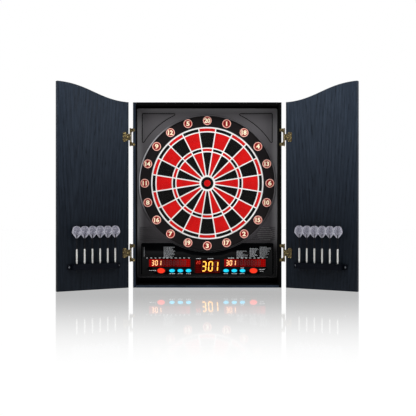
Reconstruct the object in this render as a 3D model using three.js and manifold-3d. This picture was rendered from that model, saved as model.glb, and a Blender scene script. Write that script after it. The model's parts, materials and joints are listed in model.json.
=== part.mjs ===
// An electronic dart board in a wooden wall cabinet, with two doors, dart racks and twelve soft-tip darts.
// It is drawn in millimetres with X to the right, Y up from the cabinet's underside and Z out from the wall.
// The last group turns the drawing to +Z up and puts the origin on the wall, level with the bullseye.
import * as THREE from "three";
import { mergeVertices } from "three/addons/utils/BufferGeometryUtils.js";
import Module from "manifold-3d";

const wasm = await Module();
wasm.setup();

// Fits
const fit = 0.3; // between pieces that rest on or in each other
const slideFit = 0.35; // around a piece that slides in its opening
const pinFit = 0.2; // between a hinge pin and its bore
const sink = 0.5; // how far two shapes of one piece run into each other before they are joined

// Target: twenty sectors, held in a web of ribs
const sectorCount = 20;
const sectorAngle = (2 * Math.PI) / sectorCount;
const targetRadius = 180; // outside of the web
const targetRimWidth = 4;
const doubleWidth = 9.5;
const tripleRadius = 110.7; // outer edge of the triple segments
const tripleWidth = 7.9;
const ribWidth = 3.6; // round ribs beside the double and the triple segments
const spokeWidth = 3.5;
const outerBullRadius = 19.8;
const bullRibWidth = 5.9;
const bullseyeRadius = 10.3;
const spiderDepth = 10;
const spiderStandOut = 0.5; // beyond the housing's face
const spiderFlangeWidth = 6;
const spiderFlangeThickness = 2.5;
const segmentSetback = 1.2; // from the front of the ribs to the face of a segment
const segmentFlangeThickness = 1.7;
const segmentFlangeLap = 1; // how far a flange reaches behind the ribs beside it
const segmentTravel = 1.2;
const membraneThickness = 0.8;
const membraneMargin = 2; // from the web's edge to the membrane's edge
const membraneTailWidth = 60;
const membraneTailLap = 3;
const backingThickness = 5;
const backingMargin = 25; // beyond the web's edge

// Board housing
const boardThickness = 41; // from the cabinet's back panel to the housing's face
const numberBandWidth = 36;
const catchRingWidth = 4;
const catchRingHeight = 3;
const housingSideMargin = 4.5;
const housingTopMargin = 19.5;
const controlBandHeight = 82.5; // from the catch ring down to the housing's lower edge
const housingPlate = 3.5;
const housingWall = 2.5;
const housingCorner = 9;
const rearCoverThickness = 2.5;
const rearRimHeight = 7;
const rearRimThickness = 2;
const postRadius = 6;
const postCount = 6;
const postSides = 8;
const numberRingThickness = 3.2;
const numberRingSetback = 1.8;
const numberRingInnerGap = 1;
const numberRingFlangeWidth = 5.5;
const numberRingFlangeThickness = 2.7;
const cornerPocketInset = 14.5;
const cornerPocketRingGap = 24;
const cornerPocketDepth = 0.8;
const cornerPocketSteps = 5;
const grilleSlotCount = 7;
const grilleSlotPitch = 6.3;
const grilleSlotHeight = 2.2;
const grilleSlotEdgeGap = 5.5; // from the housing's side to a slot
const grilleSlotRingGap = 5;
const grilleAbovePanel = 10;
const speakerRadius = 25;
const speakerDepth = 18;
const speakerMagnetRadius = 12;
const speakerMagnetDepth = 7;
const speakerRimDepth = 2;
const speakerSideGap = 39.5; // from the housing's side to the speaker's axis

// Control panel, displays and buttons
const panelSideMargin = 12.5;
const panelBottomMargin = 7.7;
const panelHeight = 102.8;
const panelRingGap = 2;
const panelThickness = 1.7;
const panelPocketDepth = 1.2;
const panelCorner = 5;
const panelLedge = 3; // width of the housing's ledge that carries the panel
const displayBottom = 35; // of the two side displays, above the housing's lower edge
const displayHeight = 24;
const displayEndMargin = 25.5;
const displayGap = 15.3;
const centreDisplayWidth = 79;
const centreDisplayHeight = 41.5;
const centreDisplayBottom = 15;
const displayWindowThickness = 1.3;
const displayModuleInset = 1;
const buttonLine = 22.2; // button centres above the housing's lower edge
const buttonInset = 5.4; // from a side display's inner end to the first button
const smallButtonWidth = 0.744; // share of the pitch
const smallButtonHeight = 0.592; // share of its own width
const largeButtonWidth = 1.014;
const largeButtonHeight = 0.663;
const buttonStandOut = 1.5;
const buttonTravel = 1.3;
const buttonFlange = 1.5;
const buttonFlangeThickness = 1.2;
const buttonSides = 12;
const circuitThickness = 1.6;
const circuitHeight = 58;
const circuitBottomMargin = 10;
const circuitSideMargin = 8;
const circuitSetback = 11.4; // from the housing's face back to the circuit board's face
const switchSize = 6;

// Power socket and the cord's way out
const socketSideInset = 34; // from the housing's side to the socket's axis
const socketBoreRadius = 2.9;
const socketPinRadius = 0.9;
const socketNoseRadius = 5.2;
const socketBody = [13, 14, 11];
const socketEndWall = 3;
const socketPinSetback = 1;
const socketCircuitGap = 2; // between the socket's body and the circuit board's back
const cordHoleRadius = 11;

// Cabinet
const panelBoard = 8; // wood thickness of the case
const backThickness = 4;
const rabbetWidth = 4;
const boardSideGap = 1.5;
const boardTopGap = 6;
const boardBottomGap = 20;
const recessDepth = 45; // from the housing's face to the front of the case

// Doors
const doorThickness = 15;
const doorCrest = 48; // how far the door's free corner stands above the case
const doorCurveHandle = 0.42; // share of the door's width over which each end of its top stays near level
const doorCentreGap = 3;
const doorOpenAngle = THREE.MathUtils.degToRad(148);

// Hinges
const hingeEndDistance = 110; // from the top and the underside of the case to a hinge's middle
const pinOutset = 8.5; // pin centre outside the case
const leafThickness = 1;
const hingeHeight = 55;
const knuckleRadius = 2.2;
const pinRadius = 1;
const pinHeadRadius = 1.8;
const pinHeadHeight = 1.1;
const doorKnuckleHeight = 26;
const doorEdgeGap = 4.2; // from the pin's centre to the door's hinge edge
const doorLeafWidth = 26;
const doorLeafHeight = 30;
const doorLeafLobe = 5.6;
const doorLeafNeckHeight = 20;
const doorLeafNeckWidth = 12;
const doorLeafNeckFlare = 2;
const doorLeafLobeEnd = 0.6; // angle where each lobe meets the waist between them
const caseLeafArm = 10;
const caseLeafBar = 2.2;
const caseLeafEdgeGap = 1; // from an arm's end to the inner face of the side panel
const knuckleSides = 10;

// Dart racks and darts
const dartCount = 6;
const dartPitch = 25.4;
const rackTop = 81.5; // above the underside of the case
const rackHeight = 18;
const rackEndMargin = 12.5;
const rackEar = 12;
const rackEarThickness = 3;
const rackFrontMargin = 7;
const rackHoleRadius = 2.7;
const rackCorner = 4;
const tipLength = 25;
const tipRootRadius = 2.1;
const tipEndRadius = 0.7;
const barrelLength = 48;
const barrelRadius = 3.3;
const barrelNoseRadius = 3.1;
const barrelNoseLength = 6;
const barrelShoulderLength = 5;
const shaftLength = 29; // between the barrel and the flight
const shaftRadius = 2;
const flightLength = 37.6;
const flightRadius = 18;
const flightThickness = 0.6;
const flightShoulder = 0.45; // share of the flight's length below its widest place
const flightTopCorner = 6;
const flightTurn = Math.PI / 6; // of the fins, from the plane of the door
const flightDoorGap = 1.4;
const dartSides = 8;

const ringSides = 48;
const holeSides = 12;

// Sizes that follow from the ones above
const catchRingInner = targetRadius + numberBandWidth;
const catchRingOuter = catchRingInner + catchRingWidth;
const housingHalfWidth = catchRingOuter + housingSideMargin;
const housingHeight = housingTopMargin + 2 * catchRingOuter + controlBandHeight;
const caseInnerHalfWidth = housingHalfWidth + boardSideGap;
const caseHalfWidth = caseInnerHalfWidth + panelBoard;
const caseInnerHeight = boardBottomGap + housingHeight + boardTopGap;
const caseHeight = caseInnerHeight + 2 * panelBoard;
const housingBottom = panelBoard + boardBottomGap;
const housingTop = housingBottom + housingHeight;
const bullHeight = housingBottom + controlBandHeight + catchRingOuter;

const housingFront = backThickness + boardThickness;
const caseDepth = housingFront + recessDepth;
const plateBack = housingFront - housingPlate;
const rearCoverBack = backThickness + fit;
const rearCoverFront = rearCoverBack + rearCoverThickness;
const spiderFront = housingFront + spiderStandOut;
const spiderBack = spiderFront - spiderDepth;
const segmentFront = spiderFront - segmentSetback;
const segmentFlangeFront = spiderBack - fit;
const segmentBack = segmentFlangeFront - segmentFlangeThickness;
const membraneFront = segmentBack - segmentTravel - fit;
const membraneBack = membraneFront - membraneThickness;
const backingFront = membraneBack - fit;
const backingBack = backingFront - backingThickness;
const numberRingFront = housingFront - numberRingSetback;
const panelBack = housingFront - panelPocketDepth + fit;
const panelFront = panelBack + panelThickness;
const circuitFront = housingFront - circuitSetback;
const circuitBack = circuitFront - circuitThickness;

const panelHalfWidth = housingHalfWidth - panelSideMargin;
const panelBottom = housingBottom + panelBottomMargin;
const sideDisplayStart = centreDisplayWidth / 2 + displayGap;
const sideDisplayWidth = panelHalfWidth - displayEndMargin - sideDisplayStart;
const buttonPitch = sideDisplayWidth / 5;
const socketX = housingHalfWidth - socketSideInset;
const socketZ = circuitBack - socketCircuitGap - socketBody[2] / 2;

const leafGap = fit + leafThickness + fit; // pin centre in front of the case, and from the closed door
const pinX = caseHalfWidth + pinOutset;
const pinZ = caseDepth + leafGap;
const doorWidth = pinX - doorEdgeGap - doorCentreGap / 2;
const doorMiddle = doorEdgeGap + doorWidth / 2;
const rackHalfBody = ((dartCount - 1) / 2) * dartPitch + rackEndMargin;
const dartStandOff = flightRadius * Math.cos(flightTurn) + flightDoorGap; // dart axis from the door's face
const rackDepth = dartStandOff + rackFrontMargin;

// Materials
function material(color, roughness, metalness = 0) {
  return new THREE.MeshStandardMaterial({ color, roughness, metalness });
}
const navyWood = material(0x1e2731, 0.55);
const blackWood = material(0x0b0c0e, 0.6);
const charcoalPlastic = material(0x3b3b3d, 0.6);
const blackPlastic = material(0x171718, 0.5);
const glossBlack = material(0x060708, 0.15);
const segmentBlack = material(0x161417, 0.55);
const segmentRed = material(0xd01414, 0.45);
const whitePlastic = material(0xeae8e8, 0.4);
const redLens = material(0x5a0a06, 0.15);
const redButton = material(0xf03216, 0.35);
const cyanButton = material(0x22b8e6, 0.35);
const antiqueBrass = material(0x7a6a3a, 0.4, 0.9);
const steel = material(0xb9bbb8, 0.3, 1);
const greenCircuit = material(0x1f5a36, 0.5);
const hardboard = material(0x5d4a35, 0.85);
const membraneFilm = material(0x8fa6ad, 0.4);
const nickel = material(0x9a9a96, 0.35, 0.9);

// A closed geometry as a solid that can be joined and cut.
function solid(geometry) {
  const loose = geometry.index ? geometry.toNonIndexed() : geometry;
  const bare = new THREE.BufferGeometry();
  bare.setAttribute("position", loose.getAttribute("position"));
  const merged = mergeVertices(bare, 1e-4);
  return new wasm.Manifold(
    new wasm.Mesh({
      numProp: 3,
      vertProperties: new Float32Array(merged.attributes.position.array),
      triVerts: new Uint32Array(merged.index.array),
    }),
  );
}

function join(solids) {
  return solids.reduce((joined, next) => joined.add(next));
}

function cut(body, tools) {
  return tools.reduce((left, tool) => left.subtract(tool), body);
}

// A solid as a named mesh with flat facets.
function piece(name, body, look) {
  const mesh = body.getMesh();
  const geometry = new THREE.BufferGeometry();
  geometry.setAttribute("position", new THREE.BufferAttribute(mesh.vertProperties, 3));
  geometry.setIndex(new THREE.BufferAttribute(mesh.triVerts, 1));
  const facets = geometry.toNonIndexed();
  facets.computeVertexNormals();
  const made = new THREE.Mesh(facets, look);
  made.name = name;
  return made;
}

// A flat outline pushed from one distance to another along Z.
function slab(shape, from, to, curveSegments = 6) {
  const settings = { depth: to - from, bevelEnabled: false, curveSegments };
  const geometry = new THREE.ExtrudeGeometry(shape, settings);
  geometry.translate(0, 0, from);
  return solid(geometry);
}

function box(x0, x1, y0, y1, z0, z1) {
  const geometry = new THREE.BoxGeometry(x1 - x0, y1 - y0, z1 - z0);
  geometry.translate((x0 + x1) / 2, (y0 + y1) / 2, (z0 + z1) / 2);
  return solid(geometry);
}

// A profile of [radius, height] points turned about the Y axis.
function turned(profile, sides) {
  return solid(new THREE.LatheGeometry(profile.map(([r, y]) => new THREE.Vector2(r, y)), sides));
}

// A plain round bar along the Y axis.
function rod(radius, low, high, sides) {
  return turned([[0, low], [radius, low], [radius, high], [0, high]], sides);
}

// A profile turned about an axis along Z through the bullseye, from [radius, distance from the wall] points.
function turnedAboutBull(profile, sides) {
  const points = profile.map(([r, z]) => new THREE.Vector2(r, z));
  const geometry = new THREE.LatheGeometry(points, sides);
  geometry.rotateX(Math.PI / 2);
  geometry.translate(0, bullHeight, 0);
  return solid(geometry);
}

function outline(points) {
  return new THREE.Shape(points.map(([x, y]) => new THREE.Vector2(x, y)));
}

function roundedRectangle(x0, x1, y0, y1, radius) {
  const shape = new THREE.Shape();
  shape.absarc(x1 - radius, y0 + radius, radius, -Math.PI / 2, 0);
  shape.absarc(x1 - radius, y1 - radius, radius, 0, Math.PI / 2);
  shape.absarc(x0 + radius, y1 - radius, radius, Math.PI / 2, Math.PI);
  shape.absarc(x0 + radius, y0 + radius, radius, Math.PI, 1.5 * Math.PI);
  return shape;
}

function polygon(centreX, centreY, radiusX, radiusY, sides, turn = 0) {
  const points = [];
  for (let i = 0; i < sides; i++) {
    const angle = turn + (2 * Math.PI * i) / sides;
    points.push([centreX + radiusX * Math.cos(angle), centreY + radiusY * Math.sin(angle)]);
  }
  return outline(points);
}

// ---- Cabinet case ----

function sidePanel(side) {
  const body = box(-caseHalfWidth, -caseInnerHalfWidth, 0, caseHeight, 0, caseDepth);
  const rabbet = box(
    -caseInnerHalfWidth - rabbetWidth, 0, panelBoard - rabbetWidth, caseHeight - panelBoard + rabbetWidth,
    -sink, backThickness + fit,
  );
  return piece(`side_panel_${side}`, cut(body, [rabbet]), navyWood);
}

// The top and the bottom run between the sides, with the same rabbet for the back panel.
function levelPanel(name, low, innerFace, outward) {
  const halfWidth = caseInnerHalfWidth - fit;
  const body = box(-halfWidth, halfWidth, low, low + panelBoard, 0, caseDepth);
  const lip = innerFace + outward * rabbetWidth;
  const rabbet = box(
    -halfWidth - sink, halfWidth + sink,
    Math.min(lip, innerFace - outward * sink), Math.max(lip, innerFace - outward * sink),
    -sink, backThickness + fit,
  );
  return { name, body: cut(body, [rabbet]) };
}

function bottomPanel() {
  const { name, body } = levelPanel("bottom_panel", 0, panelBoard, -1);
  const hole = rod(cordHoleRadius, -sink, panelBoard + sink, holeSides).translate([socketX, 0, socketZ]);
  return piece(name, cut(body, [hole]), navyWood);
}

function topPanel() {
  const { name, body } = levelPanel("top_panel", caseHeight - panelBoard, caseHeight - panelBoard, 1);
  return piece(name, body, navyWood);
}

function backPanel() {
  const halfWidth = caseInnerHalfWidth + rabbetWidth - fit;
  const low = panelBoard - rabbetWidth + fit;
  return piece("back_panel", box(-halfWidth, halfWidth, low, caseHeight - low, 0, backThickness), blackWood);
}

// ---- Doors ----

// The door lies in its closed place, with the hinge pin at X = 0 and Z = 0 and its free edge towards +X.
function door(side) {
  const start = doorEdgeGap;
  const end = doorEdgeGap + doorWidth;
  const handle = doorCurveHandle * doorWidth;
  const shape = new THREE.Shape();
  shape.moveTo(start, 0);
  shape.lineTo(end, 0);
  shape.lineTo(end, caseHeight + doorCrest);
  shape.bezierCurveTo(
    end - handle, caseHeight + doorCrest,
    start + handle, caseHeight,
    start, caseHeight,
  );
  shape.closePath();
  return piece(`door_${side}`, slab(shape, leafGap, leafGap + doorThickness, 20), navyWood);
}

// A plate with six vertical holes for the darts' tips, and an ear at each end for its screw.
function dartRack(side) {
  const face = leafGap - fit;
  const low = rackTop - rackHeight;
  const halfLength = rackHalfBody + rackEar;
  const flange = slab(
    roundedRectangle(doorMiddle - halfLength, doorMiddle + halfLength, low, rackTop, rackCorner),
    face - rackEarThickness, face,
  );
  const body = box(
    doorMiddle - rackHalfBody, doorMiddle + rackHalfBody, low, rackTop, face - rackDepth, face - sink,
  );
  const holes = dartPlaces().map((x) =>
    rod(rackHoleRadius, low - sink, rackTop + sink, holeSides).translate([x, 0, dartZ()]),
  );
  return piece(`dart_rack_${side}`, cut(join([flange, body]), holes), blackPlastic);
}

function dartPlaces() {
  const places = [];
  for (let i = 0; i < dartCount; i++) places.push(doorMiddle + (i - (dartCount - 1) / 2) * dartPitch);
  return places;
}

function dartZ() {
  return leafGap - dartStandOff;
}

// ---- Darts ----

// The barrel's nose is at the dart's own origin, and its tip hangs below.
function dart(name) {
  const shaftTop = barrelLength + shaftLength + flightLength / 3;
  const stem = turned(
    [
      [0, -tipLength],
      [tipEndRadius, -tipLength],
      [tipRootRadius, -fit],
      [barrelNoseRadius, 0],
      [barrelRadius, barrelNoseLength],
      [barrelRadius, barrelLength - barrelShoulderLength],
      [shaftRadius, barrelLength],
      [shaftRadius, shaftTop],
      [0, shaftTop],
    ],
    dartSides,
  );
  const parts = [stem];
  for (const turn of [flightTurn, flightTurn + Math.PI / 2]) {
    const fins = slab(flightOutline(), -flightThickness / 2, flightThickness / 2, 3);
    parts.push(fins.rotate([0, THREE.MathUtils.radToDeg(turn), 0]));
  }
  return piece(name, join(parts), steel);
}

// Two fins in one plane: a point towards the barrel, straight flanks and a round top.
function flightOutline() {
  const low = barrelLength + shaftLength;
  const top = low + flightLength;
  const shoulder = low + flightShoulder * flightLength;
  const corner = flightTopCorner;
  const shape = new THREE.Shape();
  shape.moveTo(shaftRadius / 2, low);
  shape.lineTo(flightRadius, shoulder);
  shape.bezierCurveTo(flightRadius, top - corner, flightRadius - corner, top, shaftRadius, top);
  shape.lineTo(-shaftRadius, top);
  shape.bezierCurveTo(corner - flightRadius, top, -flightRadius, top - corner, -flightRadius, shoulder);
  shape.lineTo(-shaftRadius / 2, low);
  shape.closePath();
  return shape;
}

// ---- Hinges ----

// All three pieces are drawn about the pin, with the door closed.
function knuckle(low, high) {
  const bore = pinRadius + pinFit;
  return turned(
    [[bore, low], [knuckleRadius, low], [knuckleRadius, high], [bore, high], [bore, low]],
    knuckleSides,
  );
}

function doorLeaf(name) {
  const half = doorLeafHeight / 2;
  const neck = doorLeafNeckHeight / 2;
  const start = (pinRadius + knuckleRadius) / 2;
  const neckEnd = doorLeafNeckWidth;
  const lobe = doorLeafLobe;
  const lobeX = doorLeafWidth - lobe;
  const shape = new THREE.Shape();
  shape.moveTo(start, -neck);
  shape.lineTo(neckEnd, -neck);
  shape.lineTo(neckEnd + doorLeafNeckFlare, -half);
  shape.absarc(lobeX, lobe - half, lobe, -Math.PI / 2, doorLeafLobeEnd);
  shape.absarc(lobeX, half - lobe, lobe, -doorLeafLobeEnd, Math.PI / 2);
  shape.lineTo(neckEnd + doorLeafNeckFlare, half);
  shape.lineTo(neckEnd, neck);
  shape.lineTo(start, neck);
  shape.closePath();
  const leaf = slab(shape, fit, fit + leafThickness, 4);
  return piece(name, join([leaf, knuckle(-doorKnuckleHeight / 2, doorKnuckleHeight / 2)]), antiqueBrass);
}

// An open C: a bar beside the door's knuckle, and two arms that reach the front edge of the side panel.
function caseLeaf(name) {
  const half = hingeHeight / 2;
  const inner = half - caseLeafArm;
  const start = (pinRadius + knuckleRadius) / 2;
  const barStart = knuckleRadius + fit;
  const barEnd = barStart + caseLeafBar;
  const reach = pinOutset + panelBoard - caseLeafEdgeGap;
  const gap = doorKnuckleHeight / 2 + fit;
  const leaf = slab(
    outline([
      [start, -half],
      [reach, -half],
      [reach, -inner],
      [barEnd, -inner],
      [barEnd, inner],
      [reach, inner],
      [reach, half],
      [start, half],
      [start, gap],
      [barStart, gap],
      [barStart, -gap],
      [start, -gap],
    ]),
    -fit - leafThickness, -fit,
  );
  return piece(name, join([leaf, knuckle(-half, -gap), knuckle(gap, half)]), antiqueBrass);
}

function hingePin(name) {
  const end = hingeHeight / 2 + fit;
  const top = end + pinHeadHeight;
  return piece(
    name,
    turned(
      [
        [0, -top],
        [pinHeadRadius, -top],
        [pinHeadRadius, -end],
        [pinRadius, -end],
        [pinRadius, end],
        [pinHeadRadius, end],
        [pinHeadRadius, top],
        [0, top],
      ],
      knuckleSides,
    ),
    antiqueBrass,
  );
}

// ---- Target ----

// One cell between two round ribs and two spokes, centred on the given direction. Its spoke edges are
// parallel to the middle of the spokes, and inset shrinks it on every side.
function cellOutline(innerRadius, outerRadius, direction, inset) {
  const half = spokeWidth / 2 + inset;
  const low = innerRadius + inset;
  const high = outerRadius - inset;
  const lowEdge = sectorAngle / 2 - Math.asin(half / low);
  const highEdge = sectorAngle / 2 - Math.asin(half / high);
  const corners = [
    [low, lowEdge],
    [high, highEdge],
    [high, 0],
    [high, -highEdge],
    [low, -lowEdge],
    [low, 0],
  ];
  const points = corners.map(([radius, angle]) => [
    radius * Math.cos(direction + angle),
    bullHeight + radius * Math.sin(direction + angle),
  ]);
  return points.reverse();
}

const doubleOuter = targetRadius - targetRimWidth;
const doubleInner = doubleOuter - doubleWidth;
const tripleInner = tripleRadius - tripleWidth;
const rings = [
  { name: "double_ring", outer: doubleOuter, inner: doubleInner },
  { name: "outer_single_ring", outer: doubleInner - ribWidth, inner: tripleRadius + ribWidth },
  { name: "triple_ring", outer: tripleRadius, inner: tripleInner },
  { name: "inner_single_ring", outer: tripleInner - ribWidth, inner: outerBullRadius + bullRibWidth },
];

function eachDirection(make) {
  const made = [];
  for (let i = 0; i < sectorCount; i++) made.push(make(Math.PI / 2 - i * sectorAngle));
  return made;
}

// A flat ring about the bullseye whose corners lie on the spokes.
function annulus(inner, outer, from, to, sides) {
  const shape = polygon(0, bullHeight, outer, outer, sides, sectorAngle / 2);
  shape.holes.push(polygon(0, bullHeight, inner, inner, sides, sectorAngle / 2));
  return slab(shape, from, to);
}

function spider() {
  const web = polygon(0, bullHeight, targetRadius, targetRadius, 2 * sectorCount);
  const cells = (ring) =>
    eachDirection((direction) => outline(cellOutline(ring.inner, ring.outer, direction, 0)));
  for (const ring of rings) web.holes.push(...cells(ring));
  web.holes.push(polygon(0, bullHeight, outerBullRadius, outerBullRadius, sectorCount));
  const flange = annulus(
    doubleOuter, targetRadius + spiderFlangeWidth,
    spiderBack, spiderBack + spiderFlangeThickness, 2 * sectorCount,
  );
  const flangeCells = cells(rings[0]).map((cell) => slab(cell, spiderBack - sink, spiderFront + sink));
  const made = join([slab(web, spiderBack, spiderFront), cut(flange, flangeCells)]);
  return piece("spider", made, whitePlastic);
}

// The twenty segments of a ring, joined behind the web by a thin flange.
function segmentRing(ring) {
  const flange = annulus(
    ring.inner - segmentFlangeLap, ring.outer + segmentFlangeLap,
    segmentBack, segmentFlangeFront, sectorCount,
  );
  const segments = eachDirection((direction) =>
    slab(
      outline(cellOutline(ring.inner, ring.outer, direction, slideFit)),
      segmentFlangeFront - sink, segmentFront,
    ),
  );
  return piece(ring.name, join([flange, ...segments]), segmentBlack);
}

function outerBull() {
  const inner = bullseyeRadius + slideFit;
  const outer = outerBullRadius - slideFit;
  const flange = outerBullRadius + segmentFlangeLap;
  return piece(
    "outer_bull",
    turnedAboutBull(
      [
        [inner, segmentBack],
        [flange, segmentBack],
        [flange, segmentFlangeFront],
        [outer, segmentFlangeFront],
        [outer, segmentFront],
        [inner, segmentFront],
        [inner, segmentBack],
      ],
      sectorCount,
    ),
    segmentBlack,
  );
}

function bullseye() {
  const shape = polygon(0, bullHeight, bullseyeRadius, bullseyeRadius, sectorCount);
  return piece("bullseye", slab(shape, segmentBack, segmentFront), segmentRed);
}

// The contact sheet behind the segments, with its tail towards the circuit board.
function contactMembrane() {
  const radius = targetRadius - membraneMargin;
  const disc = slab(polygon(0, bullHeight, radius, radius, 2 * sectorCount), membraneBack, membraneFront);
  const tailEnd = housingBottom + circuitBottomMargin + circuitHeight + fit;
  const tail = box(
    -membraneTailWidth / 2, membraneTailWidth / 2,
    tailEnd, bullHeight - radius + membraneTailLap, membraneBack, membraneFront,
  );
  return piece("contact_membrane", join([disc, tail]), membraneFilm);
}

function backingBoard() {
  const radius = targetRadius + backingMargin;
  const shape = polygon(0, bullHeight, radius, radius, 2 * sectorCount);
  return piece("backing_board", slab(shape, backingBack, backingFront), hardboard);
}

// ---- Board housing ----

function numberRing() {
  const inner = targetRadius + numberRingInnerGap;
  const outer = catchRingInner - sink;
  const back = numberRingFront - numberRingThickness;
  const flangeFront = plateBack - fit;
  const flangeBack = flangeFront - numberRingFlangeThickness;
  const flangeOuter = outer + numberRingFlangeWidth;
  return piece(
    "number_ring",
    turnedAboutBull(
      [
        [inner, back],
        [outer - numberRingFlangeWidth, back],
        [outer - numberRingFlangeWidth, flangeBack],
        [flangeOuter, flangeBack],
        [flangeOuter, flangeFront],
        [outer, flangeFront],
        [outer, numberRingFront],
        [inner, numberRingFront],
        [inner, back],
      ],
      ringSides,
    ),
    blackPlastic,
  );
}

// The panel's outline: a rounded plate whose upper edge gives way to the catch ring.
function panelSolid(grow, from, to) {
  const plate = slab(
    roundedRectangle(
      -panelHalfWidth - grow, panelHalfWidth + grow,
      panelBottom - grow, panelBottom + panelHeight + grow, panelCorner,
    ),
    from, to, 4,
  );
  const round = catchRingOuter + panelRingGap - grow;
  const bite = slab(polygon(0, bullHeight, round, round, 2 * ringSides), from - sink, to + sink);
  return cut(plate, [bite]);
}

const displays = [
  {
    name: "display_window_left",
    x: -sideDisplayStart - sideDisplayWidth / 2,
    width: sideDisplayWidth,
    low: displayBottom,
    height: displayHeight,
  },
  {
    name: "display_window_centre",
    x: 0,
    width: centreDisplayWidth,
    low: centreDisplayBottom,
    height: centreDisplayHeight,
  },
  {
    name: "display_window_right",
    x: sideDisplayStart + sideDisplayWidth / 2,
    width: sideDisplayWidth,
    low: displayBottom,
    height: displayHeight,
  },
];

function displayBlock(display, inset, from, to) {
  const low = housingBottom + display.low;
  return box(
    display.x - display.width / 2 + inset, display.x + display.width / 2 - inset,
    low + inset, low + display.height - inset, from, to,
  );
}

function buttonList() {
  const list = [];
  for (const [sign, side] of [[-1, "left"], [1, "right"]]) {
    for (let i = 0; i < 3; i++) {
      list.push({
        name: `button_${side}_${i + 1}`,
        x: sign * (sideDisplayStart + buttonInset + i * buttonPitch),
        width: smallButtonWidth * buttonPitch,
        height: smallButtonHeight * smallButtonWidth * buttonPitch,
        look: cyanButton,
      });
    }
    list.push({
      name: `button_${side}_large`,
      x: sign * (sideDisplayStart + buttonInset + (10 / 3) * buttonPitch),
      width: largeButtonWidth * buttonPitch,
      height: largeButtonHeight * largeButtonWidth * buttonPitch,
      look: redButton,
    });
  }
  return list;
}

function buttonShape(button, grow) {
  const y = housingBottom + buttonLine;
  return polygon(button.x, y, button.width / 2 + grow, button.height / 2 + grow, buttonSides);
}

function button(item) {
  const flangeFront = panelBack - fit;
  const flangeBack = flangeFront - buttonFlangeThickness;
  const cap = slab(buttonShape(item, 0), flangeBack, panelFront + buttonStandOut);
  const flange = slab(buttonShape(item, buttonFlange), flangeBack, flangeFront);
  return piece(item.name, join([cap, flange]), item.look);
}

function displayWindow(display) {
  const front = panelFront - fit / 2;
  return piece(display.name, displayBlock(display, 0, front - displayWindowThickness, front), redLens);
}

function controlPanel() {
  const from = panelBack - sink;
  const to = panelFront + sink;
  const openings = displays.map((display) => displayBlock(display, -fit, from, to));
  const holes = buttonList().map((item) => slab(buttonShape(item, slideFit), from, to));
  const made = cut(panelSolid(0, panelBack, panelFront), [...openings, ...holes]);
  return piece("control_panel", made, glossBlack);
}

function cornerPocket(sign) {
  const round = catchRingOuter + cornerPocketRingGap;
  const right = housingHalfWidth - cornerPocketInset;
  const top = housingTop - cornerPocketInset - bullHeight;
  const firstAngle = Math.acos(right / round);
  const lastAngle = Math.asin(top / round);
  const points = [[sign * right, bullHeight + top]];
  for (let i = 0; i <= cornerPocketSteps; i++) {
    const angle = lastAngle + ((firstAngle - lastAngle) * i) / cornerPocketSteps;
    points.push([sign * round * Math.cos(angle), bullHeight + round * Math.sin(angle)]);
  }
  if (sign < 0) points.reverse();
  return slab(outline(points), housingFront - cornerPocketDepth, housingFront + sink);
}

// Level slots between the housing's side and the catch ring.
function grilleSlots() {
  const slots = [];
  const outer = housingHalfWidth - grilleSlotEdgeGap;
  for (let i = 0; i < grilleSlotCount; i++) {
    const y = panelBottom + panelHeight + grilleAbovePanel + i * grilleSlotPitch;
    const round = catchRingOuter + grilleSlotRingGap;
    const inner = Math.sqrt(round ** 2 - (bullHeight - y) ** 2);
    for (const [x0, x1] of [[-outer, -inner], [inner, outer]]) {
      slots.push(box(x0, x1, y, y + grilleSlotHeight, plateBack - sink, housingFront + sink));
    }
  }
  return slots;
}

// A shallow tray, open at the back, with the round opening for the number ring.
function frontHousing() {
  const left = -housingHalfWidth;
  const right = housingHalfWidth;
  const back = rearCoverFront + fit;
  const block = slab(
    roundedRectangle(left, right, housingBottom, housingTop, housingCorner), back, housingFront, 4,
  );
  const hollow = slab(
    roundedRectangle(
      left + housingWall, right - housingWall, housingBottom + housingWall, housingTop - housingWall,
      housingCorner - housingWall,
    ),
    back - sink, plateBack, 4,
  );
  const lip = slab(
    polygon(0, bullHeight, catchRingOuter, catchRingOuter, ringSides), housingFront - sink,
    housingFront + catchRingHeight,
  );
  const roundHole = slab(
    polygon(0, bullHeight, catchRingInner, catchRingInner, ringSides), plateBack - sink,
    housingFront + catchRingHeight + sink,
  );
  const panelPocket = panelSolid(fit, housingFront - panelPocketDepth, housingFront + sink);
  const displayTop = Math.max(...displays.map((display) => display.low + display.height));
  const electronicsOpening = box(
    -panelHalfWidth + panelLedge, panelHalfWidth - panelLedge,
    panelBottom + panelLedge, housingBottom + displayTop + 2 * fit,
    plateBack - sink, housingFront,
  );
  const socketHole = rod(
    socketNoseRadius + fit, housingBottom - sink, housingBottom + housingWall + sink, holeSides,
  ).translate([socketX, 0, socketZ]);
  const openings = [
    roundHole, panelPocket, electronicsOpening, socketHole,
    cornerPocket(-1), cornerPocket(1), ...grilleSlots(),
  ];
  return piece("front_housing", cut(join([cut(block, [hollow]), lip]), openings), charcoalPlastic);
}

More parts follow.
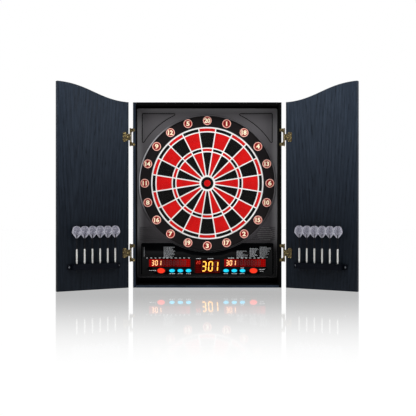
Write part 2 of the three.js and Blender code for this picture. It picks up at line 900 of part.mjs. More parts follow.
// A flat cover with a rim inside the housing's walls and posts that carry the backing board.
function rearCover() {
  const plate = slab(
    roundedRectangle(-housingHalfWidth, housingHalfWidth, housingBottom, housingTop, housingCorner),
    rearCoverBack, rearCoverFront, 4,
  );
  const inset = housingWall + fit;
  const inner = inset + rearRimThickness;
  const rim = slab(
    roundedRectangle(
      -housingHalfWidth + inset, housingHalfWidth - inset, housingBottom + inset, housingTop - inset,
      housingCorner - inset,
    ),
    rearCoverFront - sink, rearCoverFront + rearRimHeight, 4,
  );
  const rimHollow = slab(
    roundedRectangle(
      -housingHalfWidth + inner, housingHalfWidth - inner, housingBottom + inner, housingTop - inner,
      housingCorner - inner,
    ),
    rearCoverFront - 2 * sink, rearCoverFront + rearRimHeight + sink, 4,
  );
  const posts = [];
  for (let i = 0; i < postCount; i++) {
    const angle = (2 * Math.PI * i) / postCount;
    const x = targetRadius * Math.cos(angle);
    const y = bullHeight + targetRadius * Math.sin(angle);
    const post = polygon(x, y, postRadius, postRadius, postSides);
    posts.push(slab(post, rearCoverFront - sink, backingBack - fit));
  }
  const socketHalfWidth = socketBody[0] / 2 + fit;
  const socketNotch = box(
    socketX - socketHalfWidth, socketX + socketHalfWidth,
    housingBottom + inset - sink, housingBottom + inner + sink,
    rearCoverFront, rearCoverFront + rearRimHeight + sink,
  );
  return piece("rear_cover", join([plate, cut(rim, [rimHollow, socketNotch]), ...posts]), blackPlastic);
}

// The circuit board with its three digit modules and a switch behind each button.
function circuitBoard() {
  const halfWidth = panelHalfWidth - circuitSideMargin;
  const low = housingBottom + circuitBottomMargin;
  const base = box(-halfWidth, halfWidth, low, low + circuitHeight, circuitBack, circuitFront);
  const windowBack = panelFront - fit / 2 - displayWindowThickness;
  const modules = displays.map((display) =>
    displayBlock(display, displayModuleInset, circuitFront - sink, windowBack - fit),
  );
  const switchTop = panelBack - fit - buttonFlangeThickness - buttonTravel - fit;
  const switches = buttonList().map((item) => {
    const y = housingBottom + buttonLine;
    const half = switchSize / 2;
    return box(item.x - half, item.x + half, y - half, y + half, circuitFront - sink, switchTop);
  });
  return piece("circuit_board", join([base, ...modules, ...switches]), greenCircuit);
}

function speaker() {
  const front = plateBack - numberRingFlangeThickness - 2 * fit;
  const back = front - speakerDepth;
  const x = housingHalfWidth - speakerSideGap;
  const y = panelBottom + panelHeight + grilleAbovePanel + ((grilleSlotCount - 1) * grilleSlotPitch) / 2;
  const geometry = new THREE.LatheGeometry(
    [
      [0, back],
      [speakerMagnetRadius, back],
      [speakerMagnetRadius, back + speakerMagnetDepth],
      [speakerRadius, front - speakerRimDepth],
      [speakerRadius, front],
      [0, front],
    ].map(([r, z]) => new THREE.Vector2(r, z)),
    16,
  );
  geometry.rotateX(Math.PI / 2);
  geometry.translate(x, y, 0);
  return piece("speaker", solid(geometry), nickel);
}

// A barrel-plug socket in the housing's lower wall, with its mouth facing down.
function powerSocket() {
  const [width, height, depth] = socketBody;
  const inside = housingBottom + housingWall + fit;
  const body = box(-width / 2, width / 2, inside, inside + height, -depth / 2, depth / 2);
  const nose = rod(socketNoseRadius, housingBottom, inside + sink, holeSides);
  const boreTop = inside + height - socketEndWall;
  const bore = rod(socketBoreRadius, housingBottom - sink, boreTop, holeSides);
  const pin = rod(socketPinRadius, housingBottom + socketPinSetback, boreTop + sink, holeSides);
  const made = join([cut(join([body, nose]), [bore]), pin]).translate([socketX, 0, socketZ]);
  return piece("power_socket", made, blackPlastic);
}

// ---- Assembly ----

// Everything that hangs on one side: the side panel, its hinges, the door, the rack and the darts.
// The right side is the mirror image of the left one.
function halfOf(side) {
  const half = new THREE.Group();
  half.add(sidePanel(side));
  const swing = new THREE.Group();
  swing.position.set(-pinX, 0, pinZ);
  swing.rotation.y = -doorOpenAngle;
  swing.add(door(side), dartRack(side));
  for (const [level, y] of [["upper", caseHeight - hingeEndDistance], ["lower", hingeEndDistance]]) {
    const name = `hinge_${level}_${side}`;
    const onDoor = doorLeaf(`${name}_door_leaf`);
    onDoor.position.y = y;
    swing.add(onDoor);
    for (const fixed of [caseLeaf(`${name}_case_leaf`), hingePin(`${name}_pin`)]) {
      fixed.position.set(-pinX, y, pinZ);
      half.add(fixed);
    }
  }
  dartPlaces().forEach((x, i) => {
    const made = dart(`dart_${side}_${i + 1}`);
    made.position.set(x, rackTop + fit, dartZ());
    swing.add(made);
  });
  half.add(swing);
  if (side === "right") half.scale.x = -1;
  return half;
}

const board = new THREE.Group();
board.add(
  frontHousing(), rearCover(), numberRing(), spider(), ...rings.map(segmentRing), outerBull(),
  bullseye(), contactMembrane(), backingBoard(), controlPanel(), ...displays.map(displayWindow),
  ...buttonList().map(button), circuitBoard(), speaker(), powerSocket(),
);

const drawing = new THREE.Group();
drawing.add(topPanel(), bottomPanel(), backPanel(), halfOf("left"), halfOf("right"), board);
drawing.rotation.x = Math.PI / 2;
drawing.position.z = -bullHeight;

const cabinet = new THREE.Group();
cabinet.add(drawing);

export default cabinet;
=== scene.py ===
import json
import math
import random

import bmesh
import bpy
from mathutils import Matrix, Vector
from mathutils.geometry import delaunay_2d_cdt


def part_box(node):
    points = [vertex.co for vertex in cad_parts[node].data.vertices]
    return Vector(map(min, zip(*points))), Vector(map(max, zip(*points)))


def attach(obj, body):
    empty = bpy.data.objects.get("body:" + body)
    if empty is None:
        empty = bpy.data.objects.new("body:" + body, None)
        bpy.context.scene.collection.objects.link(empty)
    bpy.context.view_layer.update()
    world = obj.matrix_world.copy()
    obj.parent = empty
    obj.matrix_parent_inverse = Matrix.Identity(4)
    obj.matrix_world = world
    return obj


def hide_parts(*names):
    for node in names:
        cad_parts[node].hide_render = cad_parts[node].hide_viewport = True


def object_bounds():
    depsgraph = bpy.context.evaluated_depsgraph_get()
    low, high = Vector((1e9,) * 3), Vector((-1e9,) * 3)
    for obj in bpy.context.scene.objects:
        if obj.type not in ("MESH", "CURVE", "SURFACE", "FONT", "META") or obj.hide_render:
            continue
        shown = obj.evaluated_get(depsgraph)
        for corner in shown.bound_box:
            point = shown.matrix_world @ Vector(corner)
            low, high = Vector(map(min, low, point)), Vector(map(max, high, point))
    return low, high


# An electronic dart board in a wooden cabinet. Shapes are drawn in millimetres and scaled when a piece is made.
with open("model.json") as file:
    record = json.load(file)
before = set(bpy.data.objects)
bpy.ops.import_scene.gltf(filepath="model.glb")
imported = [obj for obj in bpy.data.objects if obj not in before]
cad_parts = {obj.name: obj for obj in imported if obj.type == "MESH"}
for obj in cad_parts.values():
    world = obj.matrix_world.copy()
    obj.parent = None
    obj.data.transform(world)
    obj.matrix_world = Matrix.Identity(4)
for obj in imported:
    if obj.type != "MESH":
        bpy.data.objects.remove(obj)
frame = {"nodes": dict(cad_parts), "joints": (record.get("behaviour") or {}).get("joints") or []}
nodes = frame["nodes"]
joints = {joint["name"]: joint for joint in frame["joints"]}
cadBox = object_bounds()
mm = 0.001
random.seed(20)
print("frame loaded:", len(nodes), "nodes")

# local x, y, z to world x, -z, y: the board's own frame, with x right, y up from the bullseye, z out from the wall
boardPlace = Matrix.Rotation(math.pi / 2, 4, "X")
upright = Matrix.Rotation(-math.pi / 2, 4, "X")  # stands a shape's z axis up in the board's or a door's frame
openAngle = math.radians(148)  # how far the doors stand open at rest


def doorPlace(side):
    # x runs to the viewer's right along the open door, y up from its foot, z out of its inner face
    sign = sideSign[side]
    across = Vector((-math.cos(openAngle), -sign * math.sin(openAngle), 0))
    up = Vector((0, 0, 1))
    place = Matrix((across, up, across.cross(up))).transposed().to_4x4()
    pin = Vector(joints[side + "_door_hinge"]["pos_m"])
    place.translation = (pin.x, pin.y, cadBox[0].z)
    return place


sideSign = {"left": -1, "right": 1}


def colour(red, green, blue):
    # screen values 0 to 255 as the linear colour that nodes take
    linear = [(c / 255 / 12.92 if c < 10.4 else ((c / 255 + 0.055) / 1.055) ** 2.4) for c in (red, green, blue)]
    return (*linear, 1)


def arithmetic(operation, reflected=False):
    # a Math node between a value and another value or a number, either way round
    def apply(value, other):
        pair = (other, value) if reflected else (value, other)
        return value.finish.math(operation, *pair)
    return apply


class Value:
    # an output socket; arithmetic with other values or numbers adds Math nodes
    __add__ = arithmetic("ADD")
    __radd__ = arithmetic("ADD", True)
    __sub__ = arithmetic("SUBTRACT")
    __rsub__ = arithmetic("SUBTRACT", True)
    __mul__ = arithmetic("MULTIPLY")
    __rmul__ = arithmetic("MULTIPLY", True)
    __gt__ = arithmetic("GREATER_THAN")
    __lt__ = arithmetic("LESS_THAN")

    def __init__(self, finish, socket):
        self.finish = finish
        self.socket = socket


class Finish:
    # a material, with the nodes that vary its colour, roughness and surface
    def __init__(self, name, fixed=None, owner=None):
        self.owner = owner or bpy.data.materials.new(name)
        self.owner.use_nodes = True
        self.tree = self.owner.node_tree
        self.shader = self.tree.nodes.get("Principled BSDF")
        for socket, value in (fixed or {}).items():
            self.shader.inputs[socket].default_value = value

    def node(self, kind, settings=None, sockets=None, out=0):
        made = self.tree.nodes.new("ShaderNode" + kind)
        for key, value in (settings or {}).items():
            setattr(made, key, value)
        for key, value in (sockets or {}).items():
            self.join(value, made.inputs[key])
        return Value(self, made.outputs[out])

    def join(self, value, socket):
        if isinstance(value, Value):
            self.tree.links.new(value.socket, socket)
        else:
            socket.default_value = value

    def math(self, operation, first, second=0.0):
        return self.node("Math", {"operation": operation}, {0: first, 1: second})

    def where(self, stretch=(1, 1, 1)):
        place = self.node("TexCoord", out=3)
        if stretch == (1, 1, 1):
            return place
        return self.node("VectorMath", {"operation": "MULTIPLY"}, {0: place, 1: stretch})

    def axes(self, vector=None):
        split = self.node("SeparateXYZ", None, {0: vector or self.where()})
        return [Value(self, socket) for socket in split.socket.node.outputs]

    def noise(self, scale, detail=3, stretch=(1, 1, 1), rough=0.5):
        return self.node("TexNoise", None, {
            "Vector": self.where(stretch), "Scale": scale, "Detail": detail, "Roughness": rough,
        })

    def smooth(self, value, low, high, start=0.0, end=1.0):
        return self.node("MapRange", {"interpolation_type": "SMOOTHSTEP"}, {
            "Value": value, "From Min": low, "From Max": high, "To Min": start, "To Max": end,
        })

    def mix(self, first, second, share, blend="MIX"):
        return self.node("Mix", {"data_type": "RGBA", "blend_type": blend}, {0: share, 6: first, 7: second}, out=2)

    def edges(self, radius, low, high):
        # 1 on the rounded edges of a piece and 0 on its flats
        rounded = self.node("Bevel", {"samples": 4}, {"Radius": radius})
        flat = self.node("NewGeometry", out=1)
        agree = self.node("VectorMath", {"operation": "DOT_PRODUCT"}, {0: rounded, 1: flat}, out=1)
        return self.smooth(1 - agree, low, high)

    def bump(self, height, strength, distance):
        return self.node("Bump", None, {"Height": height, "Strength": strength, "Distance": distance})

    def wear(self, **outputs):
        for name, value in outputs.items():
            self.join(value, self.shader.inputs[socketNames[name]])
        return self.owner


socketNames = {
    "base": "Base Color", "roughness": "Roughness", "metallic": "Metallic", "coat": "Coat Weight",
    "glow": "Emission Color", "normal": "Normal",
}

studio = {
    "cameraPlace": (0.0023, -2.59, -0.0795),
    "lens": 68.7,
    "floorSize": 7,
    "lights": [
        # place, aimed at, width, height, power
        ((0.0, -1.2, 1.6), (0, 0.0, 0.0), 1.6, 0.7, 22.0),
        ((-1.75, -1.45, 1.05), (0, 0, -0.05), 0.8, 1.1, 20.0),
        ((1.75, -1.45, 1.05), (0, 0, -0.05), 0.8, 1.1, 23.0),
    ],
    # light from the room in front, from behind the object, and where one turns into the other
    "room": 0.04, "behind": 1.0, "turns": (-0.15, 0.25),
    # the floor's reflection: strongest from here, gone by here, share of it
    "mirror": (-0.25, -1.4, 0.52),
}


def makeStudio():
    camera = bpy.data.objects.new("camera", bpy.data.cameras.new("camera"))
    bpy.context.scene.collection.objects.link(camera)
    camera.location = studio["cameraPlace"]
    camera.rotation_euler = (math.pi / 2, 0, 0)
    camera.data.lens = studio["lens"]
    bpy.context.scene.camera = camera
    bpy.context.scene.view_settings.view_transform = "Standard"

    for place, target, width, height, power in studio["lights"]:
        light = bpy.data.lights.new("softbox", "AREA")
        light.shape = "RECTANGLE"
        light.size = width
        light.size_y = height
        light.energy = power
        lamp = bpy.data.objects.new("softbox", light)
        lamp.location = place
        lamp.rotation_euler = (Vector(target) - Vector(place)).to_track_quat("-Z", "Y").to_euler()
        bpy.context.scene.collection.objects.link(lamp)

    # a white sweep behind the object and a dim room in front of it
    sky = Finish("", owner=bpy.context.scene.world or bpy.data.worlds.new("studio"))
    bpy.context.scene.world = sky.owner
    direction = sky.node("TexCoord")
    along = sky.axes(direction)[1]
    bright = sky.smooth(along, *studio["turns"], studio["room"], studio["behind"])
    seen = sky.node("LightPath")
    strength = sky.math("MAXIMUM", bright, seen)
    background = sky.tree.nodes["Background"]
    sky.join(strength, background.inputs["Strength"])
    background.inputs["Color"].default_value = (1, 1, 1, 1)

    size = studio["floorSize"]
    mesh = bpy.data.meshes.new("floor")
    corners = [(-size, -size, 0), (size, -size, 0), (size, size, 0), (-size, size, 0)]
    mesh.from_pydata(corners, [], [(0, 1, 2, 3)])
    floor = bpy.data.objects.new("floor", mesh)
    floor.location = (0, 0, cadBox[0].z - 0.0005)
    bpy.context.scene.collection.objects.link(floor)
    # white gloss paint whose reflection dies away towards the viewer
    glow = {"Emission Color": (1, 1, 1, 1), "Emission Strength": 0.98, "Specular IOR Level": 0.0}
    paint = Finish("floorPaint", glow)
    cloud = paint.noise(3.0, 2)
    paint.wear(base=paint.mix(colour(40, 40, 40), colour(46, 46, 46), cloud))
    shine = {"Color": (1, 1, 1, 1), "Roughness": paint.smooth(cloud, 0.2, 0.8, 0.03, 0.06)}
    gloss = paint.node("BsdfGlossy", None, shine)
    near, far, share = studio["mirror"]
    fade = paint.smooth(paint.axes()[1], far, near, 0.0, 1.0)
    plain = Value(paint, paint.shader.outputs[0])
    mixed = paint.node("MixShader", None, {0: fade * share, 1: plain, 2: gloss})
    paint.join(mixed, paint.tree.nodes["Material Output"].inputs[0])
    mesh.materials.append(paint.owner)


makeStudio()
print("studio ready")


def woodFinish(name, look, along, across, lining=None, paintedTopLight=None):
    # open-grained wood: tall arches of late growth, short dark pores, and edges tinted near black on the navy wood as
    # painted shade, lighter on the black wood
    def fibres(squeeze):
        return tuple(squeeze if letter == along else 1 for letter in "xyz")

    finish = Finish(name, {"Specular IOR Level": look["gloss"]})
    x, y, z = finish.axes()
    axis = {"x": x, "y": y, "z": z}
    middle = finish.math("ABSOLUTE", axis[across]) - look["heart"]
    drift = finish.noise(look["driftScale"], 3, fibres(look["fibre"]))
    bend = finish.math("SQRT", middle * middle + look["heartRadius"] ** 2)
    arch = bend * look["lines"] - axis[along] * look["rise"] + drift * look["drift"]
    late = finish.smooth(finish.math("PINGPONG", arch, 1.0), *look["lateRange"])
    streak = finish.noise(look["streakScale"], 4, fibres(look["fibre"]), 0.65)
    pore = finish.noise(look["poreScale"], 2, fibres(look["poreFibre"]))
    hollow = finish.smooth(pore, *look["poreRange"]) * (0.35 + 0.65 * late)
    tint = finish.mix(look["dark"], look["light"], finish.smooth(streak, *look["streakRange"]))
    tint = finish.mix(tint, look["late"], late * look["lateShare"])
    tint = finish.mix(tint, look["pore"], hollow)
    patchy = finish.smooth(finish.noise(60, 3), 0.2, 0.5, 0.6, 1.0)
    wearAndShade = finish.edges(look["edgeRadius"], 0.02, 0.2) * patchy
    if paintedTopLight:
        # painted light: the colour grows lighter towards the top, standing in for the light falling from above; foot,
        # head, and the share of the colour kept at each
        depth = finish.smooth(axis[along] + look["paintedTopLightDrift"] * drift, *paintedTopLight)
        shade = finish.node("CombineColor", None, {0: depth, 1: depth, 2: depth})
        tint = finish.mix(tint, shade, 1.0, "MULTIPLY")
    # painted shade: the rounded edges take the look's edge colour, near black on the navy wood
    tint = finish.mix(tint, look["edge"], wearAndShade * look["edgeShare"])
    rough = finish.math("MAXIMUM", look["roughness"] + 0.14 * streak - 0.08 * late, wearAndShade * look["edgeRoughness"])
    if lining:
        # black where it lies within these limits: the case's black lining inside, and on the top and right boards
        # also painted shade over their front edges
        halfWidth, low, high, front = lining
        lined = (finish.math("ABSOLUTE", x) < halfWidth) * (z > low) * (z < high) * (y > front)
        tint = finish.mix(tint, look["lining"], lined)
        rough = finish.math("MAXIMUM", rough, lined * look["liningRoughness"])
    height = streak * 0.25 - hollow * 0.8 - late * 0.12
    return finish.wear(base=tint, roughness=rough, normal=finish.bump(height, 0.5, 0.0004))


wood = {
    "gloss": 0.07, "roughness": 0.4, "fibre": 0.05, "poreFibre": 0.035, "heart": 0.05, "heartRadius": 0.008,
    "driftScale": 26, "drift": 5.0, "lines": 175, "rise": 13, "streakScale": 260, "poreScale": 1000,
    "dark": colour(28, 36, 47), "light": colour(39, 48, 60), "streakRange": (0.3, 0.72),
    "late": colour(22, 29, 38), "lateShare": 0.45, "lateRange": (0.45, 0.95),
    "pore": colour(8, 11, 15), "poreRange": (0.56, 0.68), "paintedTopLightDrift": 0.04,
    # edge colour: painted shade on the rounded edges of the navy wood
    "edge": colour(6, 8, 11), "edgeShare": 0.95, "edgeRoughness": 0.9, "edgeRadius": 0.0015,
    "lining": colour(1, 1, 1), "liningRoughness": 0.8,
}


def plasticFinish(name, look):
    # moulded plastic: fine spark texture, slow unevenness, edges painted lighter as a painted highlight
    look = {**plain, **look}
    finish = Finish(name, {"Specular IOR Level": look["gloss"]})
    grainScale, grainDepth = look["grain"]
    grain = finish.noise(grainScale, 2)
    slow = finish.noise(look["slowScale"], 3)
    dark, light, speck = (colour(*tint) for tint in look["tints"])
    tint = finish.mix(dark, light, finish.smooth(slow, 0.25, 0.75))
    tint = finish.mix(tint, speck, finish.smooth(grain, 0.55, 0.8) * look["speckShare"])
    if "foot" in look:
        # painted light and shade: lighter towards the top and near the front edge of the case, standing in for the
        # light from above; darker low down and in its grooves and recesses, standing in for shade
        x, up, out = finish.axes()
        side = finish.smooth(finish.math("ABSOLUTE", x), *look["borderSide"])
        border = finish.math("MAXIMUM", side, finish.smooth(up, *look["borderTop"]))
        tint = finish.mix(tint, look["head"], finish.smooth(up, *look["headRange"]) * look["headShare"])
        tint = finish.mix(tint, look["border"], border * look["borderShare"])
        tint = finish.mix(look["foot"], tint, finish.smooth(up, *look["footRange"]))
        tint = finish.mix(look["groove"], tint, finish.smooth(out, *look["grooveRange"]))
        # painted highlight: a thin light arc on the upper left of the catch ring's lip
        roundingAndHighlight = zip((out, x, up), look["paintedHighlightRanges"])
        outward, sideways, upward = (finish.smooth(value, *limits) for value, limits in roundingAndHighlight)
        tint = finish.mix(tint, look["paintedHighlight"], outward * sideways * upward)
    # painted highlight: the rounded edges are painted lighter
    if "edge" in look:
        tint = finish.mix(tint, look["edge"], finish.edges(0.0012, 0.02, 0.3) * (0.5 + 0.5 * slow))
    outputs = {
        "base": tint,
        "roughness": look["roughness"] + 0.12 * slow + 0.06 * grain,
        "normal": finish.bump(grain, grainDepth, 0.0002),
    }
    if "glow" in look:
        # light fills the middle of the cap and fails towards its rim
        x, y, _ = finish.axes()
        wide, tall = (1 / size for size in look["dome"])
        rim = finish.smooth(x * x * wide ** 2 + y * y * tall ** 2, 0.5, 1.0)
        outputs["glow"] = finish.mix(finish.mix(look["glow"], look["glowEdge"], slow), (0, 0, 0, 1), rim)
        outputs["base"] = finish.mix(tint, look["rim"], rim)
        finish.shader.inputs["Emission Strength"].default_value = look["glowStrength"]
    return finish.wear(**outputs)


# what a plastic has unless it says otherwise; tints are dark, light and speck, grain is scale and depth
plain = {"gloss": 0.5, "slowScale": 9, "speckShare": 0.5}
badge = {"grain": (900, 0.15), "slowScale": 90, "roughness": 0.34}
button = {"grain": (900, 0.1), "slowScale": 120, "roughness": 0.28, "gloss": 0.2}
ink = {"grain": (1600, 0.05), "slowScale": 200, "roughness": 0.5}
segment = {"grain": (1300, 0.35), "slowScale": 30}
plastics = {
    "charcoalPlastic": {
        "tints": ((50, 48, 50), (62, 59, 62), (90, 88, 91)),
        "roughness": 0.46, "grain": (1500, 0.5), "gloss": 0.1, "edge": colour(112, 111, 113),
        # foot, head and border are painted light and shade; groove is painted shade in the recesses
        "foot": colour(15, 15, 16), "footRange": (-0.225, -0.15),
        "head": colour(94, 92, 95), "headRange": (-0.06, 0.22), "headShare": 0.6,
        "border": colour(116, 115, 117), "borderSide": (0.2, 0.223), "borderTop": (0.222, 0.238), "borderShare": 0.7,
        "groove": colour(6, 6, 7), "grooveRange": (0.0428, 0.0446),
        "paintedHighlight": colour(170, 170, 174), "paintedHighlightRanges": ((0.0466, 0.0473), (-0.1, -0.2), (-0.12, 0.02)),
    },
    "ringPlastic": {
        "tints": ((17, 15, 16), (25, 22, 23), (40, 36, 36)), "speckShare": 0.4,
        "roughness": 0.5, "grain": (1700, 0.4), "gloss": 0.08, "edge": colour(60, 58, 60),
    },
    "webPlastic": {
        "tints": ((232, 230, 228), (247, 246, 245), (214, 212, 208)), "speckShare": 0.3,
        "roughness": 0.3, "grain": (700, 0.12),
    },
    "redSegment": {
        **segment, "tints": ((204, 8, 8), (222, 15, 13), (160, 5, 7)), "speckShare": 0.3,
        "roughness": 0.46, "gloss": 0.15,
    },
    "blackSegment": {
        **segment, "tints": ((8, 9, 8), (14, 15, 14), (26, 27, 26)), "speckShare": 0.4,
        "roughness": 0.5, "gloss": 0.1,
    },
    "rackPlastic": {
        "tints": ((3, 5, 11), (7, 10, 18), (20, 24, 34)), "speckShare": 0.4,
        "roughness": 0.42, "grain": (1200, 0.35), "gloss": 0.05,
    },
    "coverPlastic": {"tints": ((16, 16, 17), (24, 24, 25), (36, 36, 38)), "roughness": 0.5, "grain": (900, 0.6)},
    "shaftPlastic": {
        "tints": ((8, 9, 12), (14, 15, 19), (30, 31, 36)),
        "gloss": 0.12, "roughness": 0.36, "grain": (1400, 0.15), "slowScale": 60,
    },
    "badgeRed": {**badge, "tints": ((128, 8, 10), (152, 14, 14), (90, 4, 6)), "roughness": 0.4, "gloss": 0.15},
    "badgeSalmon": {**badge, "tints": ((238, 166, 152), (252, 194, 178), (216, 130, 118))},
    "badgeCream": {**badge, "tints": ((252, 232, 196), (255, 244, 216), (240, 210, 176))},
    "redButton": {
        **button, "tints": ((232, 44, 20), (250, 64, 32), (200, 24, 12)), "rim": colour(120, 14, 6),
        "glow": colour(255, 38, 12), "glowEdge": colour(246, 26, 8), "glowStrength": 0.5, "dome": (0.01335, 0.0088),
    },
    "cyanButton": {
        **button, "tints": ((10, 190, 232), (40, 214, 250), (6, 150, 200)), "rim": colour(0, 76, 110),
        "glow": colour(0, 210, 250), "glowEdge": colour(0, 190, 240), "glowStrength": 0.45, "dome": (0.0098, 0.0058),
    },
    "whitePrint": {**ink, "tints": ((226, 228, 232), (246, 247, 249), (190, 192, 196))},
    "greyPrint": {**ink, "tints": ((150, 152, 156), (186, 188, 192), (110, 112, 116))},
}


def glossPanelFinish():
    # black lacquer with faint wipe marks
    finish = Finish("panelGloss", {"Specular IOR Level": 0.1, "Coat Roughness": 0.04})
    smear = finish.noise(26, 4, (1, 0.25, 1), 0.6)
    dust = finish.noise(2200, 1)
    tint = finish.mix(colour(1, 1, 2), colour(3, 4, 5), smear)
    tint = finish.mix(tint, colour(46, 48, 52), finish.smooth(dust, 0.78, 0.86) * 0.4)
    return finish.wear(
        base=tint, roughness=finish.smooth(smear, 0.25, 0.8, 0.10, 0.26),
        coat=finish.smooth(smear, 0.1, 0.9, 0.09, 0.03), normal=finish.bump(smear, 0.04, 0.0004),
    )


def brassFinish():
    # brass under a brown patina that is worn through on the edges
    finish = Finish("antiqueBrass")
    blotch = finish.noise(260, 5, rough=0.7)
    fine = finish.noise(1500, 3)
    wearAndShade = finish.math("MAXIMUM", finish.edges(0.0007, 0.03, 0.3), finish.smooth(blotch, 0.54, 0.68))
    tint = finish.mix(colour(60, 47, 22), colour(230, 208, 136), wearAndShade)
    tint = finish.mix(tint, colour(24, 20, 12), finish.smooth(fine, 0.6, 0.76) * 0.5)
    return finish.wear(
        base=tint, metallic=finish.smooth(wearAndShade, 0, 1, 0.5, 0.75), roughness=0.42 - 0.12 * wearAndShade + 0.1 * fine,
        normal=finish.bump(blotch * 0.6 + fine * 0.4, 0.35, 0.0003),
    )


def steelFinish(name, look):
    # turned metal: fine rings along the axis, dark grease in the grooves
    finish = Finish(name)
    rings = finish.noise(look["ringScale"], 2, look["ringStretch"])
    haze = finish.noise(180, 3)
    tint = finish.mix(look["dark"], look["light"], finish.smooth(rings + 0.3 * haze, 0.4, 0.9))
    return finish.wear(
        base=tint, metallic=finish.smooth(haze, 0, 1, look["metallic"] - 0.06, look["metallic"]),
        roughness=look["roughness"] + 0.14 * haze + 0.1 * rings,
        normal=finish.bump(rings, 0.25, 0.0002),
    )


metals = {
    "dartMetal": {
        "dark": colour(176, 176, 174), "light": colour(244, 244, 240), "roughness": 0.3, "metallic": 0.45,
        "ringScale": 2600, "ringStretch": (0.02, 0.02, 1),
    },
    "screwMetal": {
        "dark": colour(96, 100, 106), "light": colour(150, 154, 160), "roughness": 0.34, "metallic": 0.9,
        "ringScale": 1500, "ringStretch": (1, 1, 1),
    },
    "speakerMetal": {
        "dark": colour(96, 96, 94), "light": colour(160, 160, 156), "roughness": 0.36, "metallic": 1.0,
        "ringScale": 500, "ringStretch": (1, 1, 1),
    },
}


def flightFinish():
    # printed film: a mottle of small cells inside a pale rim that follows the flight's outline
    finish = Finish("flightFilm", {"Specular IOR Level": 0.2})
    cells = finish.node("TexVoronoi", {"feature": "DISTANCE_TO_EDGE"}, {"Vector": finish.where(), "Scale": 300.0})
    drift = finish.noise(160, 3)
    line = finish.smooth(cells, 0.03, 0.16)
    tint = finish.mix(colour(190, 190, 200), colour(78, 78, 92), line)
    tint = finish.mix(tint, colour(120, 119, 138), finish.smooth(drift, 0.4, 0.7) * 0.5)
    x, y, z = finish.axes()
    low, middle, high, wide = (dart[key] * mm for key in ("flightStart", "widestAt", "flightEnd", "widest"))
    above = (z - middle) * (1 / (high - middle))
    below = finish.math("POWER", finish.math("MAXIMUM", (z - low) * (1 / (middle - low)), 0.01), dart["taper"])
    upper = finish.math("POWER", finish.math("MAXIMUM", 1 - above * above, 0.001), dart["shoulder"] / 2)
    reach = finish.math("SQRT", x * x + y * y) * (1 / wide)
    edge = finish.math("MINIMUM", below + 5 * (z > middle), upper + 5 * (z < middle))
    rim = finish.smooth(edge - reach, 0.2, 0.05)
    tint = finish.mix(tint, colour(196, 196, 208), rim * 0.7)
    return finish.wear(base=tint, roughness=0.3 + 0.2 * drift, normal=finish.bump(cells, 0.15, 0.0002))


dart = {
    "count": 6, "noseHeight": 81.8, "tipLength": 25, "tipEnd": 0.7, "tipRoot": 2.1, "nose": 3.1,
    "barrel": 2.8, "barrelLength": 45.5, "grooves": 11, "groovePitch": 2.6, "grooveStart": 10, "grooveDepth": 0.35,
    "shaft": 2.0, "shaftEnd": 89.5, "flightStart": 77, "widest": 18, "widestAt": 93.9, "flightEnd": 114.6,
    "film": 0.4, "taper": 0.8, "shoulder": 0.72, "turn": -30,
}
window = {"cells": 300, "leftLeak": (-0.02, -0.05), "rightLeak": (0.03, 0.058), "brightest": 0.85}


def windowFinish(name, dim, bright, ends):
    # a red lens over rows of unlit cells, with light leaking in from the lit ones
    finish = Finish(name, {"Specular IOR Level": 0.02, "Emission Strength": 1.0})
    x, y, z = finish.axes()
    grid = [finish.smooth(finish.math("PINGPONG", value * window["cells"], 1.0), 0.6, 0.9) for value in (x, y)]
    line = finish.math("MAXIMUM", *grid)
    leak = finish.noise(40, 2, (1, 0.4, 1))
    left = finish.smooth(x, *window["leftLeak"])
    right = finish.smooth(x, *window["rightLeak"])
    warm = 0.16 + ends * (0.5 * left + 0.55 * right) + 0.35 * finish.smooth(leak, 0.4, 0.7)
    warm = finish.math("MINIMUM", warm, window["brightest"])
    glow = finish.mix(finish.mix(dim, bright, warm), colour(30, 0, 0), line * (0.9 - 0.5 * warm))
    sparkle = finish.noise(900, 2)
    return finish.wear(
        base=finish.mix(colour(16, 1, 1), colour(34, 2, 2), warm), glow=glow,
        roughness=finish.smooth(leak, 0, 1, 0.16, 0.24), normal=finish.bump(sparkle, 0.05, 0.0002),
    )


def digitFinish(name, low, high, strength):
    # lit segments, faintly uneven
    finish = Finish(name, {"Roughness": 0.3, "Emission Strength": strength})
    cloud = finish.noise(160, 2)
    glow = finish.mix(low, high, finish.smooth(cloud, 0.3, 0.7))
    return finish.wear(base=finish.mix(low, high, cloud), glow=glow)


def boardFinish(name, low, high, roughness, scale):
    # pressed fibre board or circuit laminate
    finish = Finish(name)
    fibre = finish.noise(scale, 4, (1, 0.5, 1), 0.7)
    slow = finish.noise(12, 2)
    return finish.wear(
        base=finish.mix(low, high, finish.smooth(fibre * 0.7 + slow * 0.3, 0.3, 0.7)),
        roughness=roughness + 0.15 * fibre, normal=finish.bump(fibre, 0.4, 0.0004),
    )


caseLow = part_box("bottom_panel")[1].z
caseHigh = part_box("top_panel")[0].z
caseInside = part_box("side_panel_right")[0].x
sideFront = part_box("side_panel_left")[0].y
skin = 0.0012  # how far in from a board's outside the black lining starts
lining = (caseInside + 0.0001, caseLow - 0.0001, caseHigh + 0.0001, sideFront + skin)
# the top and right boards are black all but their outer skin: lining on their inner faces, painted shade on their
# front edges
topLiningAndShade = (1, caseLow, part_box("top_panel")[1].z - skin, -1)
rightLiningAndShade = (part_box("side_panel_right")[1].x - skin, caseLow - 1, cadBox[1].z, -1)
blackWood = {
    "heart": 0.118, "dark": colour(10, 10, 11), "light": colour(17, 17, 18), "late": colour(8, 8, 9),
    "pore": colour(3, 3, 4), "edge": colour(60, 58, 54), "roughness": 0.6, "gloss": 0.08,
}
looks = {name: plasticFinish(name, look) for name, look in plastics.items()}
looks.update({name: steelFinish(name, look) for name, look in metals.items()})
